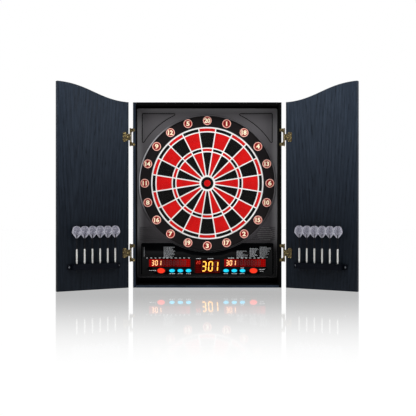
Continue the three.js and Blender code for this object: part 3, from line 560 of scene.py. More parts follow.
# what differs from plain wood, the way the grain runs and the way across it, the black part (lining, and painted
# shade on the top and right boards), the painted top light
for name, changes, along, across, lined, paintedTopLight in (
    ("caseTop", {}, "x", "y", topLiningAndShade, None),
    ("caseRight", {}, "z", "y", rightLiningAndShade, None),
    ("caseSide", {}, "z", "y", lining, None),
    ("caseLevel", {}, "x", "y", lining, None),
    ("doorWoodLeft", {"heart": 0.182}, "y", "x", None, (0.1, 0.62, 0.4, 1.05)),
    ("doorWoodRight", {"heart": 0.1, "drift": 4.0}, "y", "x", None, (0.1, 0.62, 0.42, 1.28)),
    ("blackWood", blackWood, "z", "x", None, None),
):
    looks[name] = woodFinish(name, {**wood, **changes}, along, across, lined, paintedTopLight)
looks["panelGloss"] = glossPanelFinish()
looks["antiqueBrass"] = brassFinish()
looks["flightFilm"] = flightFinish()
# darkest and lightest tint, then share of leaking light, strength of the glow, or roughness and scale
for finishKind, name, low, high, *rest in (
    (windowFinish, "displayLens", (54, 0, 1), (184, 12, 8), 1.0),
    (windowFinish, "centreLens", (24, 0, 0), (120, 8, 6), 0.0),
    (digitFinish, "amberDigits", (250, 160, 40), (255, 198, 80), 1.0),
    (digitFinish, "paleDigits", (250, 176, 110), (255, 208, 150), 0.9),
    (digitFinish, "redDigits", (176, 28, 14), (206, 44, 20), 0.8),
    (digitFinish, "darkDigits", (50, 2, 2), (64, 4, 4), 0.6),
    (boardFinish, "hardboard", (70, 52, 36), (104, 80, 56), 0.7, 300),
    (boardFinish, "circuitGreen", (16, 66, 36), (30, 92, 50), 0.35, 500),
    (boardFinish, "membraneFilm", (120, 140, 146), (156, 174, 178), 0.25, 90),
):
    looks[name] = finishKind(name, colour(*low), colour(*high), *rest)
print("finishes ready:", len(looks))


def offsetLoop(points, distance):
    # every corner of a closed outline moved to its left, into the material
    moved = []
    for i, point in enumerate(points):
        before = (point - points[i - 1]).normalized()
        after = (points[(i + 1) % len(points)] - point).normalized()
        turn = max(0.35, 1 + before.dot(after))
        moved.append(point + Vector((-before.y - after.y, before.x + after.x)) * (distance / turn))
    return moved


def inside(point, loop):
    # a line to the right of the point crosses the loop an odd number of times
    odd = False
    for i, first in enumerate(loop):
        second = loop[i - 1]
        if (first.y > point.y) != (second.y > point.y):
            if point.x < (second.x - first.x) * (point.y - first.y) / (second.y - first.y) + first.x:
                odd = not odd
    return odd


def addCap(shape, rings, up=True):
    # fills between the first ring and the ones inside it, which have numbers above 0
    corners = [corner for ring in rings for corner in ring]
    owners = [number for number, ring in enumerate(rings) for _ in ring]
    flat = [corner.co.xy for corner in corners]
    holes = [[corner.co.xy for corner in ring] for ring in rings]
    edges = []
    for ring in rings:
        start = len(edges)
        edges += [(start + i, start + (i + 1) % len(ring)) for i in range(len(ring))]
    found = delaunay_2d_cdt(flat, edges, [], 1, 1e-5)
    for triangle in found[2]:
        ids = [found[3][i][0] for i in triangle]
        if len(set(ids)) < 3:
            continue
        owner = owners[ids[0]]
        if owner and owners[ids[1]] == owner and owners[ids[2]] == owner:
            middle = (flat[ids[0]] + flat[ids[1]] + flat[ids[2]]) / 3
            if inside(middle, holes[owner]):
                continue
        a, b, c = (flat[i] for i in ids)
        if ((b - a).cross(c - a) > 0) != up:
            ids.reverse()
        try:
            shape.faces.new([corners[i] for i in ids])
        except ValueError:
            continue


def addWall(shape, low, high):
    for i in range(len(low)):
        j = (i + 1) % len(low)
        shape.faces.new((low[i], low[j], high[j], high[i]))


def ringAt(shape, loop, height):
    return [shape.verts.new((point.x, point.y, height)) for point in loop]


def addSlab(shape, loops, low, high, edge=0.4, backEdge=0.0, steps=2, pits=(), place=None):
    # outlines (the first counterclockwise, holes clockwise) from low to high, rounded along front and back edges;
    # pits are (clockwise outline, depth) pairs sunk into the front
    before = len(shape.verts)
    profile = []
    if backEdge:
        for i in range(steps):
            angle = math.pi / 2 * i / steps
            profile.append((backEdge * (1 - math.sin(angle)), low + backEdge * (1 - math.cos(angle))))
        profile.append((0, low + backEdge))
    else:
        profile.append((0, low))
    if edge:
        for i in range(steps + 1):
            angle = math.pi / 2 * i / steps
            profile.append((edge * (1 - math.cos(angle)), high - edge + edge * math.sin(angle)))
    else:
        profile.append((0, high))
    fronts, backs = [], []
    for loop in loops:
        rings = [ringAt(shape, offsetLoop(loop, inset), height) for inset, height in profile]
        for lower, upper in zip(rings, rings[1:]):
            addWall(shape, lower, upper)
        backs.append(rings[0])
        fronts.append(rings[-1])
    for loop, depth in pits:
        rim = ringAt(shape, loop, high)
        foot = ringAt(shape, loop, high - depth)
        addWall(shape, foot, rim)
        addCap(shape, [foot[::-1]])
        fronts.append(rim)
    addCap(shape, fronts)
    addCap(shape, backs, up=False)
    settle(shape, before, place)


def addLathe(shape, profile, sides, place=None, closed=False):
    # (radius, height) pairs turned about z, drawn upwards along the outside
    before = len(shape.verts)
    rings = []
    for radius, height in profile:
        if radius < 1e-6:
            rings.append([shape.verts.new((0, 0, height))])
        else:
            rings.append(ringAt(shape, circle(radius, sides), height))
    pairs = list(zip(rings, rings[1:]))
    if closed:
        pairs.append((rings[-1], rings[0]))
    for lower, upper in pairs:
        if len(lower) > 1 and len(upper) > 1:
            addWall(shape, lower, upper)
        elif len(upper) > 1:
            for i in range(sides):
                shape.faces.new((lower[0], upper[(i + 1) % sides], upper[i]))
        elif len(lower) > 1:
            for i in range(sides):
                shape.faces.new((lower[i], lower[(i + 1) % sides], upper[0]))
    settle(shape, before, place)


def settle(shape, before, place):
    if place is not None:
        shape.verts.ensure_lookup_table()
        bmesh.ops.transform(shape, matrix=place, verts=shape.verts[before:])


def circle(radius, count, x=0, y=0, tall=None):
    tall = tall or radius
    angles = [2 * math.pi * i / count for i in range(count)]
    return [Vector((x + radius * math.cos(angle), y + tall * math.sin(angle))) for angle in angles]


def roundedBox(left, right, low, high, radius, steps=5):
    left, right, low, high = left + radius, right - radius, low + radius, high - radius
    corners = ((right, low, -90), (right, high, 0), (left, high, 90), (left, low, 180))
    return [point for x, y, start in corners for point in arc(radius, start, start + 90, steps, x, y)]


def shift(x, y, z):
    return Matrix.Translation((x, y, z))


def makePiece(name, shape, place, body, look, replaces=(), sharp=40):
    shape.verts.ensure_lookup_table()
    bmesh.ops.scale(shape, vec=(mm, mm, mm), verts=shape.verts)
    mesh = bpy.data.meshes.new(name)
    shape.to_mesh(mesh)
    shape.free()
    mesh.polygons.foreach_set("use_smooth", [True] * len(mesh.polygons))
    mesh.set_sharp_from_angle(angle=math.radians(sharp))
    mesh.materials.append(looks[look])
    piece = bpy.data.objects.new(name, mesh)
    bpy.context.scene.collection.objects.link(piece)
    piece.matrix_world = place
    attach(piece, body)
    if replaces:
        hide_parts(*replaces)


def makeFixed(name, shape, look, replaces=()):
    makePiece(name, shape, boardPlace, "cabinet", look, replaces)


def carryOver(node, look, ease=None):
    # keeps a CAD piece, with its corners eased and a finish of its own
    piece = nodes[node]
    piece.data.materials.clear()
    piece.data.materials.append(looks[look])
    if ease:
        weld = piece.modifiers.new("weld", "WELD")
        weld.merge_threshold = 0.00001
        bevel = piece.modifiers.new("ease", "BEVEL")
        bevel.width = ease * mm
        bevel.segments = 2
        bevel.limit_method = "ANGLE"
        bevel.angle_limit = math.radians(40)


def flipped(points, sign):
    # an outline drawn for the right side, kept counterclockwise on the left
    return points if sign > 0 else [Vector((-point.x, point.y)) for point in reversed(points)]


def outline(*points):
    return [Vector(point) for point in points]


def arc(radius, start, end, steps, x=0, y=0):
    turns = [math.radians(start + (end - start) * i / steps) for i in range(steps + 1)]
    return [Vector((x + radius * math.cos(turn), y + radius * math.sin(turn))) for turn in turns]


def addCopies(shape, single, places):
    # rotated or moved copies of a finished shape
    mesh = bpy.data.meshes.new("single")
    single.to_mesh(mesh)
    single.free()
    for place in places:
        before = len(shape.verts)
        shape.from_mesh(mesh)
        settle(shape, before, place)
    bpy.data.meshes.remove(mesh)


screw = {
    # what a screw of size 1 measures; shoulder and crown are shares of the head's radius and of its dome
    "head": 2.4, "height": 1.3, "slotWidth": 0.7, "slotDepth": 0.6, "sides": 20, "shoulder": 0.97, "crown": 0.86,
}


def addScrew(shape, x, y, low, size, turn):
    # a round wood-screw head with a straight slot, drawn as two half domes either side of the slot
    head = screw["head"] * size
    height = screw["height"] * size
    floor = height - screw["slotDepth"] * size
    single = bmesh.new()
    shoulder = head * screw["shoulder"]
    addLathe(single, [(0, 0), (head, 0), (head, 0.25 * height), (shoulder, floor), (0, floor)], screw["sides"])
    half = screw["slotWidth"] * size / 2
    for side in (0, math.pi):
        rings = []
        for i in range(6):
            lift = i / 5
            radius = shoulder * math.sqrt(1 - (screw["crown"] * lift) ** 2)
            edge = math.asin(min(1, half / radius))
            turns = [edge + (math.pi - 2 * edge) * k / 10 + side for k in range(11)]
            rings.append([
                single.verts.new((radius * math.cos(a), radius * math.sin(a), floor + (height - floor) * lift))
                for a in turns
            ])
        for lower, upper in zip(rings, rings[1:]):
            addWall(single, lower, upper)
        single.faces.new(rings[-1])
        single.faces.new(rings[0][::-1])
    addCopies(shape, single, [shift(x, y, low) @ Matrix.Rotation(turn, 4, "Z")])


case = {"ease": 0.9, "backEase": 0.4, "nailHead": 1.6, "nailPitch": 92, "nailInset": 7, "nailSunk": 0.6}

for board, look in (("side_panel_left", "caseSide"), ("side_panel_right", "caseRight"), ("top_panel", "caseTop"),
                    ("bottom_panel", "caseLevel")):
    carryOver(board, look, case["ease"])
carryOver("back_panel", "blackWood", case["backEase"])


def makeNails():
    low, high = (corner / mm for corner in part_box("back_panel"))
    inset = case["nailInset"]
    left, right, foot, top = low.x + inset, high.x - inset, low.z + inset, high.z - inset
    up = round((top - foot) / case["nailPitch"])
    across = round((right - left) / case["nailPitch"])
    spots = [(x, foot + (top - foot) * i / up) for x in (left, right) for i in range(up + 1)]
    spots += [(left + (right - left) * i / across, z) for z in (foot, top) for i in range(1, across)]
    head, sunk = case["nailHead"], case["nailSunk"]
    shape = bmesh.new()
    for x, z in spots:
        addLathe(shape, [(0, -0.02), (head, -0.02), (head, sunk), (0, sunk + 0.1)], 14, shift(x, z, 0))
    makeFixed("back_nails", shape, "screwMetal")


makeNails()
print("case finished")

door = {
    "hingeEdge": 4.2, "freeEdge": 241, "back": -16.6, "front": -1.6, "hingeHeight": 584, "freeHeight": 632,
    "handle": 0.42, "ease": 1.5, "steps": 36,
}


def doorOutline():
    # a straight foot and sides, and an S-curved crest from the free edge down to the hinge edge
    near, far, low, high = door["hingeEdge"], door["freeEdge"], door["hingeHeight"], door["freeHeight"]
    handle = door["handle"] * (far - near)
    points = [(far, high), (far - handle, high), (near + handle, low), (near, low)]
    crest = []
    for i in range(door["steps"] + 1):
        t = i / door["steps"]
        weights = ((1 - t) ** 3, 3 * t * (1 - t) ** 2, 3 * t * t * (1 - t), t ** 3)
        crest.append(Vector([sum(w * p[axis] for w, p in zip(weights, points)) for axis in (0, 1)]))
    return outline((near, 0), (far, 0)) + crest


for side, sign in sideSign.items():
    shape = bmesh.new()
    ease = door["ease"]
    addSlab(shape, [flipped(doorOutline(), sign)], door["back"], door["front"], ease, ease, 4)
    look = "doorWood" + side.title()
    makePiece("door_" + side + "_board", shape, doorPlace(side), side + "_door", look,
              ["door_" + side], sharp=50)
print("doors finished")

hinge = {
    "pinX": 242.5, "heights": {"lower": 110, "upper": 474}, "half": 27.5, "doorHalf": 13,
    "pin": 1.0, "knuckle": 2.2, "gap": 0.25, "sides": 28,
    "leafLow": -1.3, "leafHigh": -0.3, "leafStart": 1.6, "leafHalf": 15, "lobe": 5.6, "leafWidth": 26,
    "neck": 10, "neckEnd": 12, "flare": 2, "lobeEnd": 34,
    "arm": 10, "bend": 4.5, "barStart": 2.5, "barWidth": 2.2, "reach": 15.5, "caseLeafZ": (90.3, 91.3), "pinZ": 91.6,
    "screw": 1.3, "neckScrew": 1.35, "neckScrewInset": 3.4, "armScrewInset": 5,
    "cap": 1.5, "ball": 1.8, "ballLift": 0.35, "ballHeight": 0.75,
}


def addKnuckle(shape, low, high):
    radius = hinge["knuckle"]
    ease = 0.25
    bore = hinge["pin"] + 0.05
    outside = [(radius - ease, low), (radius, low + ease), (radius, high - ease), (radius - ease, high)]
    addLathe(shape, [(bore, low)] + outside + [(bore, high)], hinge["sides"], upright, closed=True)


def doorLeafOutline():
    half, neck, neckEnd, start = (hinge[key] for key in ("leafHalf", "neck", "neckEnd", "leafStart"))
    lobe, lobeEnd = hinge["lobe"], hinge["lobeEnd"]
    x, y = hinge["leafWidth"] - lobe, half - lobe
    flare = neckEnd + hinge["flare"]
    return (outline((start, -neck), (neckEnd, -neck), (flare, -half)) + arc(lobe, -90, lobeEnd, 10, x, -y)
            + arc(lobe, -lobeEnd, 90, 10, x, y) + outline((flare, half), (neckEnd, neck), (start, neck)))


def caseLeafOutline():
    half = hinge["half"]
    inner = half - hinge["arm"]
    barEnd = hinge["barStart"] + hinge["barWidth"]
    knob = hinge["arm"] / 2
    end = hinge["reach"] - knob
    bend = hinge["bend"]
    return (
        outline((hinge["leafStart"], -half)) + arc(knob, -90, 90, 12, end, knob - half)
        + arc(bend, 270, 180, 6, barEnd + bend, bend - inner) + arc(bend, 180, 90, 6, barEnd + bend, inner - bend)
        + arc(knob, -90, 90, 12, end, half - knob)
        + outline((hinge["leafStart"], half), (hinge["leafStart"], inner - 3), (hinge["barStart"], inner - 3),
                  (hinge["barStart"], 3 - inner), (hinge["leafStart"], 3 - inner))
    )


def makeHinge(level, side):
    sign = sideSign[side]
    name = "hinge_" + level + "_" + side
    height = hinge["heights"][level]
    atDoor = doorPlace(side) @ shift(0, height * mm, 0)
    atCase = boardPlace @ shift(sign * hinge["pinX"] * mm, cadBox[0].z + height * mm, hinge["pinZ"] * mm)

    def makeBrass(part, shape, place, replaces=()):
        body = side + "_door" if place is atDoor else "cabinet"
        makePiece(name + part, shape, place, body, "antiqueBrass", replaces)

    shape = bmesh.new()
    addSlab(shape, [flipped(doorLeafOutline(), sign)], hinge["leafLow"], hinge["leafHigh"], 0.3, 0.1)
    addKnuckle(shape, -hinge["doorHalf"], hinge["doorHalf"])
    makeBrass("_leaf_on_door", shape, atDoor, [name + "_door_leaf"])

    shape = bmesh.new()
    lobeX = hinge["leafWidth"] - hinge["lobe"]
    lobeY = hinge["leafHalf"] - hinge["lobe"]
    neck = (hinge["neckEnd"] - hinge["neckScrewInset"], 0, hinge["neckScrew"])
    for x, y, size in ((lobeX, lobeY, hinge["screw"]), (lobeX, -lobeY, hinge["screw"]), neck):
        addScrew(shape, sign * x, y, hinge["leafHigh"], size, random.uniform(0, 3.1))
    makeBrass("_door_screws", shape, atDoor)

    # the case leaf is drawn away from the pin, so it is flipped the other way
    shape = bmesh.new()
    low, high = (z - hinge["pinZ"] for z in hinge["caseLeafZ"])
    addSlab(shape, [flipped(caseLeafOutline(), -sign)], low, high, 0.3, 0.1)
    for way in (-1, 1):
        ends = sorted((way * (hinge["doorHalf"] + hinge["gap"]), way * hinge["half"]))
        addKnuckle(shape, *ends)
    makeBrass("_leaf_on_case", shape, atCase, [name + "_case_leaf"])

    shape = bmesh.new()
    for way in (-1, 1):
        spot = (-sign * (hinge["reach"] - hinge["armScrewInset"]), way * (hinge["half"] - hinge["arm"] / 2))
        addScrew(shape, *spot, high, hinge["screw"], random.uniform(0, 3.1))
    makeBrass("_case_screws", shape, atCase)

    shape = bmesh.new()
    end = hinge["half"] + 0.3
    top = [(hinge["pin"], end), (hinge["cap"], end)]
    for i in range(7):
        turn = math.pi / 2 * i / 6
        top.append((hinge["ball"] * math.cos(turn), end + hinge["ballLift"] + hinge["ballHeight"] * math.sin(turn)))
    addLathe(shape, [(radius, -z) for radius, z in reversed(top)] + top, 20, upright)
    makeBrass("_pin_with_ends", shape, atCase, [name + "_pin"])


for level in ("upper", "lower"):
    for side in sideSign:
        makeHinge(level, side)
print("hinges finished")

rack = {
    "low": 63.5, "high": 81.5, "start": 46.6, "end": 198.6, "earStart": 34.6, "earEnd": 210.6, "back": -1.3,
    "front": 22.7, "earFront": 1.7, "hole": 2.7, "holeZ": 15.39, "first": 59.1, "pitch": 25.4, "corner": 9,
    "screwInset": 6, "screw": 1.2,
}


def dartSpots():
    return [rack["first"] + rack["pitch"] * i for i in range(dart["count"])]


def makeRack(side):
    sign = sideSign[side]
    shape = bmesh.new()
    corner = rack["corner"]
    depth = -rack["front"]
    start, end = rack["start"], rack["end"]
    body = (outline((start, -rack["back"])) + arc(corner, 180, 270, 8, start + corner, depth + corner)
            + arc(corner, 270, 360, 8, end - corner, depth + corner) + outline((end, -rack["back"])))
    holes = [circle(rack["hole"], 24, sign * spot, -rack["holeZ"])[::-1] for spot in dartSpots()]
    addSlab(shape, [flipped(body, sign)] + holes, rack["low"], rack["high"], 1.1, 1.1, 4, place=upright)
    for left, right in ((rack["earStart"], start + 0.4), (end - 0.4, rack["earEnd"])):
        ear = roundedBox(left, right, rack["low"], rack["high"], 3)
        addSlab(shape, [flipped(ear, sign)], rack["back"], rack["earFront"], 0.6)
    makePiece("rack_" + side, shape, doorPlace(side), side + "_door", "rackPlastic",
              ["dart_rack_" + side], sharp=50)
    shape = bmesh.new()
    middle = (rack["low"] + rack["high"]) / 2
    for x in (rack["earStart"] + rack["screwInset"], rack["earEnd"] - rack["screwInset"]):
        addScrew(shape, sign * x, middle, rack["earFront"], rack["screw"], random.uniform(0, 3.1))
    makePiece("rack_" + side + "_screws", shape, doorPlace(side), side + "_door", "screwMetal")


def barrelProfile():
    nose, radius, end = dart["nose"], dart["barrel"], dart["barrelLength"]
    profile = [(0, 0.72), (nose - 1.5, 0.72), (nose - 1.1, 1.6), (radius - 0.3, 5.5), (radius, 8)]
    height = dart["grooveStart"]
    inner = radius - dart["grooveDepth"]
    for _ in range(dart["grooves"]):
        profile += [(radius, height), (inner, height + 0.3), (inner, height + 0.9), (radius, height + 1.2)]
        height += dart["groovePitch"]
    profile += [(radius, end - 8), (radius - 0.15, end - 4), (radius - 0.7, end - 0.5), (radius - 1.1, end), (0, end)]
    return profile


def stemProfile():
    # the soft point and the threaded collar above it
    low, wide, nose = -dart["tipLength"], dart["tipEnd"], dart["nose"]
    return [(0, low), (wide * 0.6, low + 0.15), (wide, low + 0.8), (wide + 0.25, -18), (1.3, -9), (1.6, -5),
            (2.4, -4.6), (2.6, -3.6), (2.6, -1.4), (2.2, -0.8), (dart["tipRoot"], 0), (nose, 0),
            (nose, 0.7), (0, 0.7)]


def shaftProfile():
    low, high, wide = dart["barrelLength"] + 0.02, dart["shaftEnd"], dart["shaft"]
    return [(0, low), (wide + 0.5, low), (wide + 0.7, low + 0.5), (wide + 0.7, low + 2.6), (wide + 0.2, low + 3.4),
            (wide - 0.25, low + 6), (wide - 0.25, low + 16), (wide, low + 20), (wide, high - 1),
            (wide - 0.5, high), (0, high)]


def finOutline():
    # from the shaft out to the round shoulder and back over the top
    root = dart["film"] / 2 + 0.05
    wide, middle = dart["widest"], dart["widestAt"]
    low, high = dart["flightStart"], dart["flightEnd"]
    points = [(root, low)]
    for i in range(1, 9):
        t = i / 9
        points.append((root + (wide - root) * t ** dart["taper"], low + (middle - low) * t))
    for i in range(15):
        turn = math.pi / 2 * i / 14
        points.append((wide * math.cos(turn) ** dart["shoulder"], middle + (high - middle) * math.sin(turn)))
    points = [point for point in points if point[0] >= root]
    return outline(*points, (root, high))


def makeDarts(side):
    sign = sideSign[side]
    for number in range(1, dart["count"] + 1):
        name = "dart_" + side + "_" + str(number)
        low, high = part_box(name)
        across = (doorPlace(side).inverted() @ ((low + high) / 2)).x / mm
        spot = min(dartSpots(), key=lambda u: abs(sign * u - across))
        place = doorPlace(side) @ shift(sign * spot * mm, dart["noseHeight"] * mm, rack["holeZ"] * mm) @ upright

        shape = bmesh.new()
        addLathe(shape, barrelProfile(), 24)
        makePiece(name + "_barrel", shape, place, name, "dartMetal", [name], sharp=30)
        shape = bmesh.new()
        addLathe(shape, stemProfile(), 16)
        addLathe(shape, shaftProfile(), 20)
        makePiece(name + "_tip_and_shaft", shape, place, name, "shaftPlastic", [name], sharp=30)
        shape = bmesh.new()
        half = dart["film"] / 2
        for k in range(4):
            turn = Matrix.Rotation(math.radians(sign * dart["turn"] + 90 * k), 4, "Z")
            addSlab(shape, [finOutline()], -half, half, 0, place=turn @ Matrix.Rotation(math.pi / 2, 4, "X"))
        makePiece(name + "_flight", shape, place, name, "flightFilm", [name])


for side in sideSign:
    makeRack(side)
    makeDarts(side)
print("racks and darts finished")

housing = {
    "halfWidth": 224.5, "low": -302.5, "high": 239.5, "corner": 4.5, "back": 7.1, "plate": 41.5, "front": 45,
    "wall": 2.5, "border": 2.0, "borderTop": 46.3, "hole": 216, "lip": 220, "lipTop": 48, "sides": 192,
    "pocketArc": 240.5, "pocketRight": 210, "pocketTop": 225, "pocketDepth": 2.6,
    "pocketCorner": 4.5, "groove": 3.0, "islandTop": 44.9,
    "slots": 7, "slotLow": -182, "slotPitch": 6.3, "slotHeight": 2.2, "slotArc": 225, "slotRight": 219,
    "slotEase": 0.8,
}
panel = {
    "halfWidth": 212, "low": -294.8, "high": -192, "corner": 5, "bite": 222, "back": 44.1, "front": 45.8,
    "gap": 0.3, "windowFront": 45.65, "windowBack": 44.35, "windowGap": 0.15, "buttonGap": 0.3, "buttonDome": 1.3,
    "sideWindow": (54.8, 186.5, -267.5, -243.5), "centreWindow": (-39.5, 39.5, -287.5, -246),
    "buttonY": -280.3, "small": (19.6, 11.6), "large": (26.7, 17.7),
    "smallX": (60.2, 86.54, 112.88), "largeX": 148, "buttonFront": 47.3, "buttonBack": 42.6,
}


def panelOutline(grow):
    low, high = panel["low"] - grow, panel["high"] + grow
    radius, bite = panel["corner"], panel["bite"] - grow
    x, foot, top = panel["halfWidth"] + grow - radius, low + radius, high - radius
    reach = math.degrees(math.acos(-high / bite))
    return (arc(radius, 180, 270, 5, -x, foot) + arc(radius, 270, 360, 5, x, foot) + arc(radius, 0, 90, 5, x, top)
            + arc(bite, reach - 90, -reach - 90, 44) + arc(radius, 90, 180, 5, -x, top))


def pocketOutline():
    # between the ring and the top corner, its three points worn round
    top, right, radius, roundingAndHighlight = (housing[key] for key in ("pocketTop", "pocketRight", "pocketArc", "pocketCorner"))
    top, right, reach = top - roundingAndHighlight, right - roundingAndHighlight, radius + roundingAndHighlight
    first, last = math.asin(top / reach), math.acos(right / reach)
    x, y = reach * math.cos(first), reach * math.sin(last)
    first, last = math.degrees(first), math.degrees(last)
    return (arc(roundingAndHighlight, 90, 180 + first, 7, x, top) + arc(radius, last + 1, first - 1, 14)[::-1]
            + arc(roundingAndHighlight, 180 + last, 360, 7, right, y) + arc(roundingAndHighlight, 0, 90, 5, right, top))


def slotOutline(low):
    top = low + housing["slotHeight"]
    radius = housing["slotArc"]
    right = housing["slotRight"]
    start, end = (math.sqrt(radius ** 2 - y ** 2) for y in (low, top))
    ease = housing["slotEase"]
    return outline((start, low), (right - ease, low), (right, low + ease), (right, top - ease), (right - ease, top),
                   (end, top))


def makeHousing():
    wide, low, high, corner = (housing[key] for key in ("halfWidth", "low", "high", "corner"))
    plate, front, hole, lip, top = (housing[key] for key in ("plate", "front", "hole", "lip", "lipTop"))

    def frameOf(inset):
        box = roundedBox(inset - wide, wide - inset, low + inset, high - inset, corner - inset, 6)
        return [outer, box[::-1]]

    shape = bmesh.new()
    outer = roundedBox(-wide, wide, low, high, corner, 6)
    holes = [circle(hole, housing["sides"])[::-1], panelOutline(panel["gap"])[::-1]]
    for i in range(housing["slots"]):
        slot = slotOutline(housing["slotLow"] + housing["slotPitch"] * i)
        holes += [slot[::-1], flipped(slot, -1)[::-1]]
    pockets = [flipped(pocketOutline(), sign) for sign in (1, -1)]
    pits = [(pocket[::-1], housing["pocketDepth"]) for pocket in pockets]
    addSlab(shape, [outer] + holes, plate, front, 0.35, pits=pits)
    for pocket in pockets:
        island = offsetLoop(pocket, housing["groove"])
        addSlab(shape, [island], front - housing["pocketDepth"] - 0.1, housing["islandTop"], 0.5)
    addSlab(shape, frameOf(housing["wall"]), housing["back"], plate, 0)
    addSlab(shape, frameOf(housing["border"]), front - 0.3, housing["borderTop"], 0.7)
    profile = [(hole, plate), (lip + 1, plate), (lip + 1, front + 0.4), (lip, top - 1.2), (lip - 0.6, top - 0.3),
               (lip - 1.6, top), (hole + 1.4, top), (hole + 0.4, top - 0.4), (hole, top - 1.4)]
    addLathe(shape, profile, housing["sides"], closed=True)
    makeFixed("housing", shape, "charcoalPlastic", ["front_housing"])


makeHousing()
print("housing finished")

numbers = {
    "order": (20, 1, 18, 4, 13, 6, 10, 15, 2, 17, 3, 19, 7, 16, 8, 11, 14, 9, 12, 5),
    "inner": 181, "outer": 215.5, "low": 40, "high": 43.2, "flange": 221, "flangeLow": 38.5, "flangeHigh": 41.2,
    "badgeAt": 200.7, "badge": 14.0, "rim": 11.5, "rimTop": 45.2, "faceTop": 44.2, "badgeSides": 40,
    "numeral": 14.0, "numeralTop": 44.75, "bold": 0.055, "wideOne": 1.2, "wideTwo": 1.05,
}


def addNumeral(shape, word, place, low, widen):
    # a solid numeral, centred on its place; the font's figures are 0.73 of its size tall
    size, high = numbers["numeral"], numbers["numeralTop"]
    curve = bpy.data.curves.new("numeral", "FONT")
    curve.body = word
    curve.size = size / 0.73
    curve.offset = numbers["bold"] * size
    curve.extrude = (high - low) / 2
    curve.resolution_u = 3
    curve.space_character = 0.94
    writing = bpy.data.objects.new("numeral", curve)
    bpy.context.scene.collection.objects.link(writing)
    bpy.context.view_layer.update()
    mesh = bpy.data.meshes.new_from_object(writing.evaluated_get(bpy.context.evaluated_depsgraph_get()))
    bpy.data.objects.remove(writing)
    single = bmesh.new()
    single.from_mesh(mesh)
    bpy.data.meshes.remove(mesh)
    bmesh.ops.remove_doubles(single, verts=single.verts, dist=0.001)
    bounds = [[pick(vert.co[axis] for vert in single.verts) for pick in (min, max)] for axis in (0, 1)]
    middle = [sum(pair) / 2 for pair in bounds]
    fit = Matrix.Diagonal((widen, 1, 1, 1)) @ shift(-middle[0], -middle[1], 0)
    addCopies(shape, single, [place @ shift(0, 0, (low + high) / 2) @ fit])


def makeNumberRing():
    shape = bmesh.new()
    inner, outer, low, high = (numbers[key] for key in ("inner", "outer", "low", "high"))
    flange, flangeLow, flangeHigh = (numbers[key] for key in ("flange", "flangeLow", "flangeHigh"))
    profile = [(inner, low), (outer - 1, low), (outer - 1, flangeLow), (flange, flangeLow), (flange, flangeHigh),
               (outer, flangeHigh), (outer, high - 0.4), (outer - 0.4, high), (inner + 2.6, high),
               (inner + 2.2, high + 0.7), (inner + 0.6, high + 0.7), (inner, high + 0.2)]
    addLathe(shape, profile, housing["sides"], closed=True)
    makeFixed("number_ring_plate", shape, "ringPlastic", ["number_ring"])
    rims, faces, digits = bmesh.new(), bmesh.new(), bmesh.new()
    badge, rim, top, face, sides = (numbers[key] for key in ("badge", "rim", "rimTop", "faceTop", "badgeSides"))
    profile = [(rim, high), (badge, high), (badge, top - 0.7), (badge - 0.5, top - 0.15), (badge - 1, top),
               (rim + 0.8, top), (rim + 0.2, top - 0.2), (rim, top - 0.7)]
    for i, number in enumerate(numbers["order"]):
        turn = math.radians(90 - 18 * i)
        place = shift(numbers["badgeAt"] * math.cos(turn), numbers["badgeAt"] * math.sin(turn), 0)
        addLathe(rims, profile, sides, place, closed=True)
        addLathe(faces, [(0, high), (rim - 0.05, high), (rim - 0.05, face), (0, face)], sides, place)
        addNumeral(digits, str(number), place, face, numbers["wideTwo"] if number > 9 else numbers["wideOne"])
    makeFixed("badge_rims", rims, "badgeSalmon")
    makeFixed("badge_faces", faces, "badgeRed")
    makeFixed("badge_numerals", digits, "badgeCream")


makeNumberRing()
print("number ring finished")

target = {
    "webLow": 35.5, "webHigh": 45.5, "webOuter": 180, "webFlange": 186, "flangeTop": 38, "webSides": 180,
    "spoke": 3.5, "bullHole": 19.8,
    "rings": {
        # inner radius, outer radius, node, black on even sectors
        "double": (166.5, 176, "double_ring", False),
        "outerSingle": (114.3, 162.9, "outer_single_ring", True),
        "triple": (102.8, 110.7, "triple_ring", False),
        "innerSingle": (25.7, 99.2, "inner_single_ring", True),
    },
    "segmentLow": 33.5, "segmentHigh": 44.3, "inset": 0.35,
    "pitPitch": 3.9, "pit": 1.0, "pitDepth": 3.2, "pitMargin": 1.9,
    "outerBull": (10.65, 19.45), "outerBullPits": ((13.3, 20), (16.9, 26)),
    "bullseye": 10.3, "bullseyePits": ((3.9, 6), (7.6, 12)),
}


def cellOutline(inner, outer, inset=0.0, turn=90.0):
    half = target["spoke"] / 2 + inset
    inner, outer = inner + inset, outer - inset
    points = []
    for radius, way, steps in ((outer, 1, max(3, int(outer / 22))), (inner, -1, max(2, int(inner / 22)))):
        edge = 9 - math.degrees(math.asin(half / radius))
        points += arc(radius, turn - way * edge, turn + way * edge, steps)
    return points


def cellPits(inner, outer):
    # rows of holes that take the tips, evenly spaced across a segment and along each row
    pitch = target["pitPitch"]
    margin = target["pitMargin"] + target["inset"]
    room = outer - inner - 2 * margin
    rows = max(1, round(room / (pitch * 0.87)) + 1)
    spots = []
    for i in range(rows):
        radius = (inner + outer) / 2 if rows == 1 else inner + margin + room * i / (rows - 1)
        edge = math.radians(9) - math.asin((target["spoke"] / 2 + margin) / radius)
        if edge <= 0:
            continue
        count = int(2 * edge * radius / pitch) + 1
        for k in range(count):
            angle = math.pi / 2 + (k - (count - 1) / 2) * pitch / radius
            spots.append(Vector((radius * math.cos(angle), radius * math.sin(angle))))
    return spots


def pitsAt(spots):
    return [(circle(target["pit"], 6, spot.x, spot.y)[::-1], target["pitDepth"]) for spot in spots]


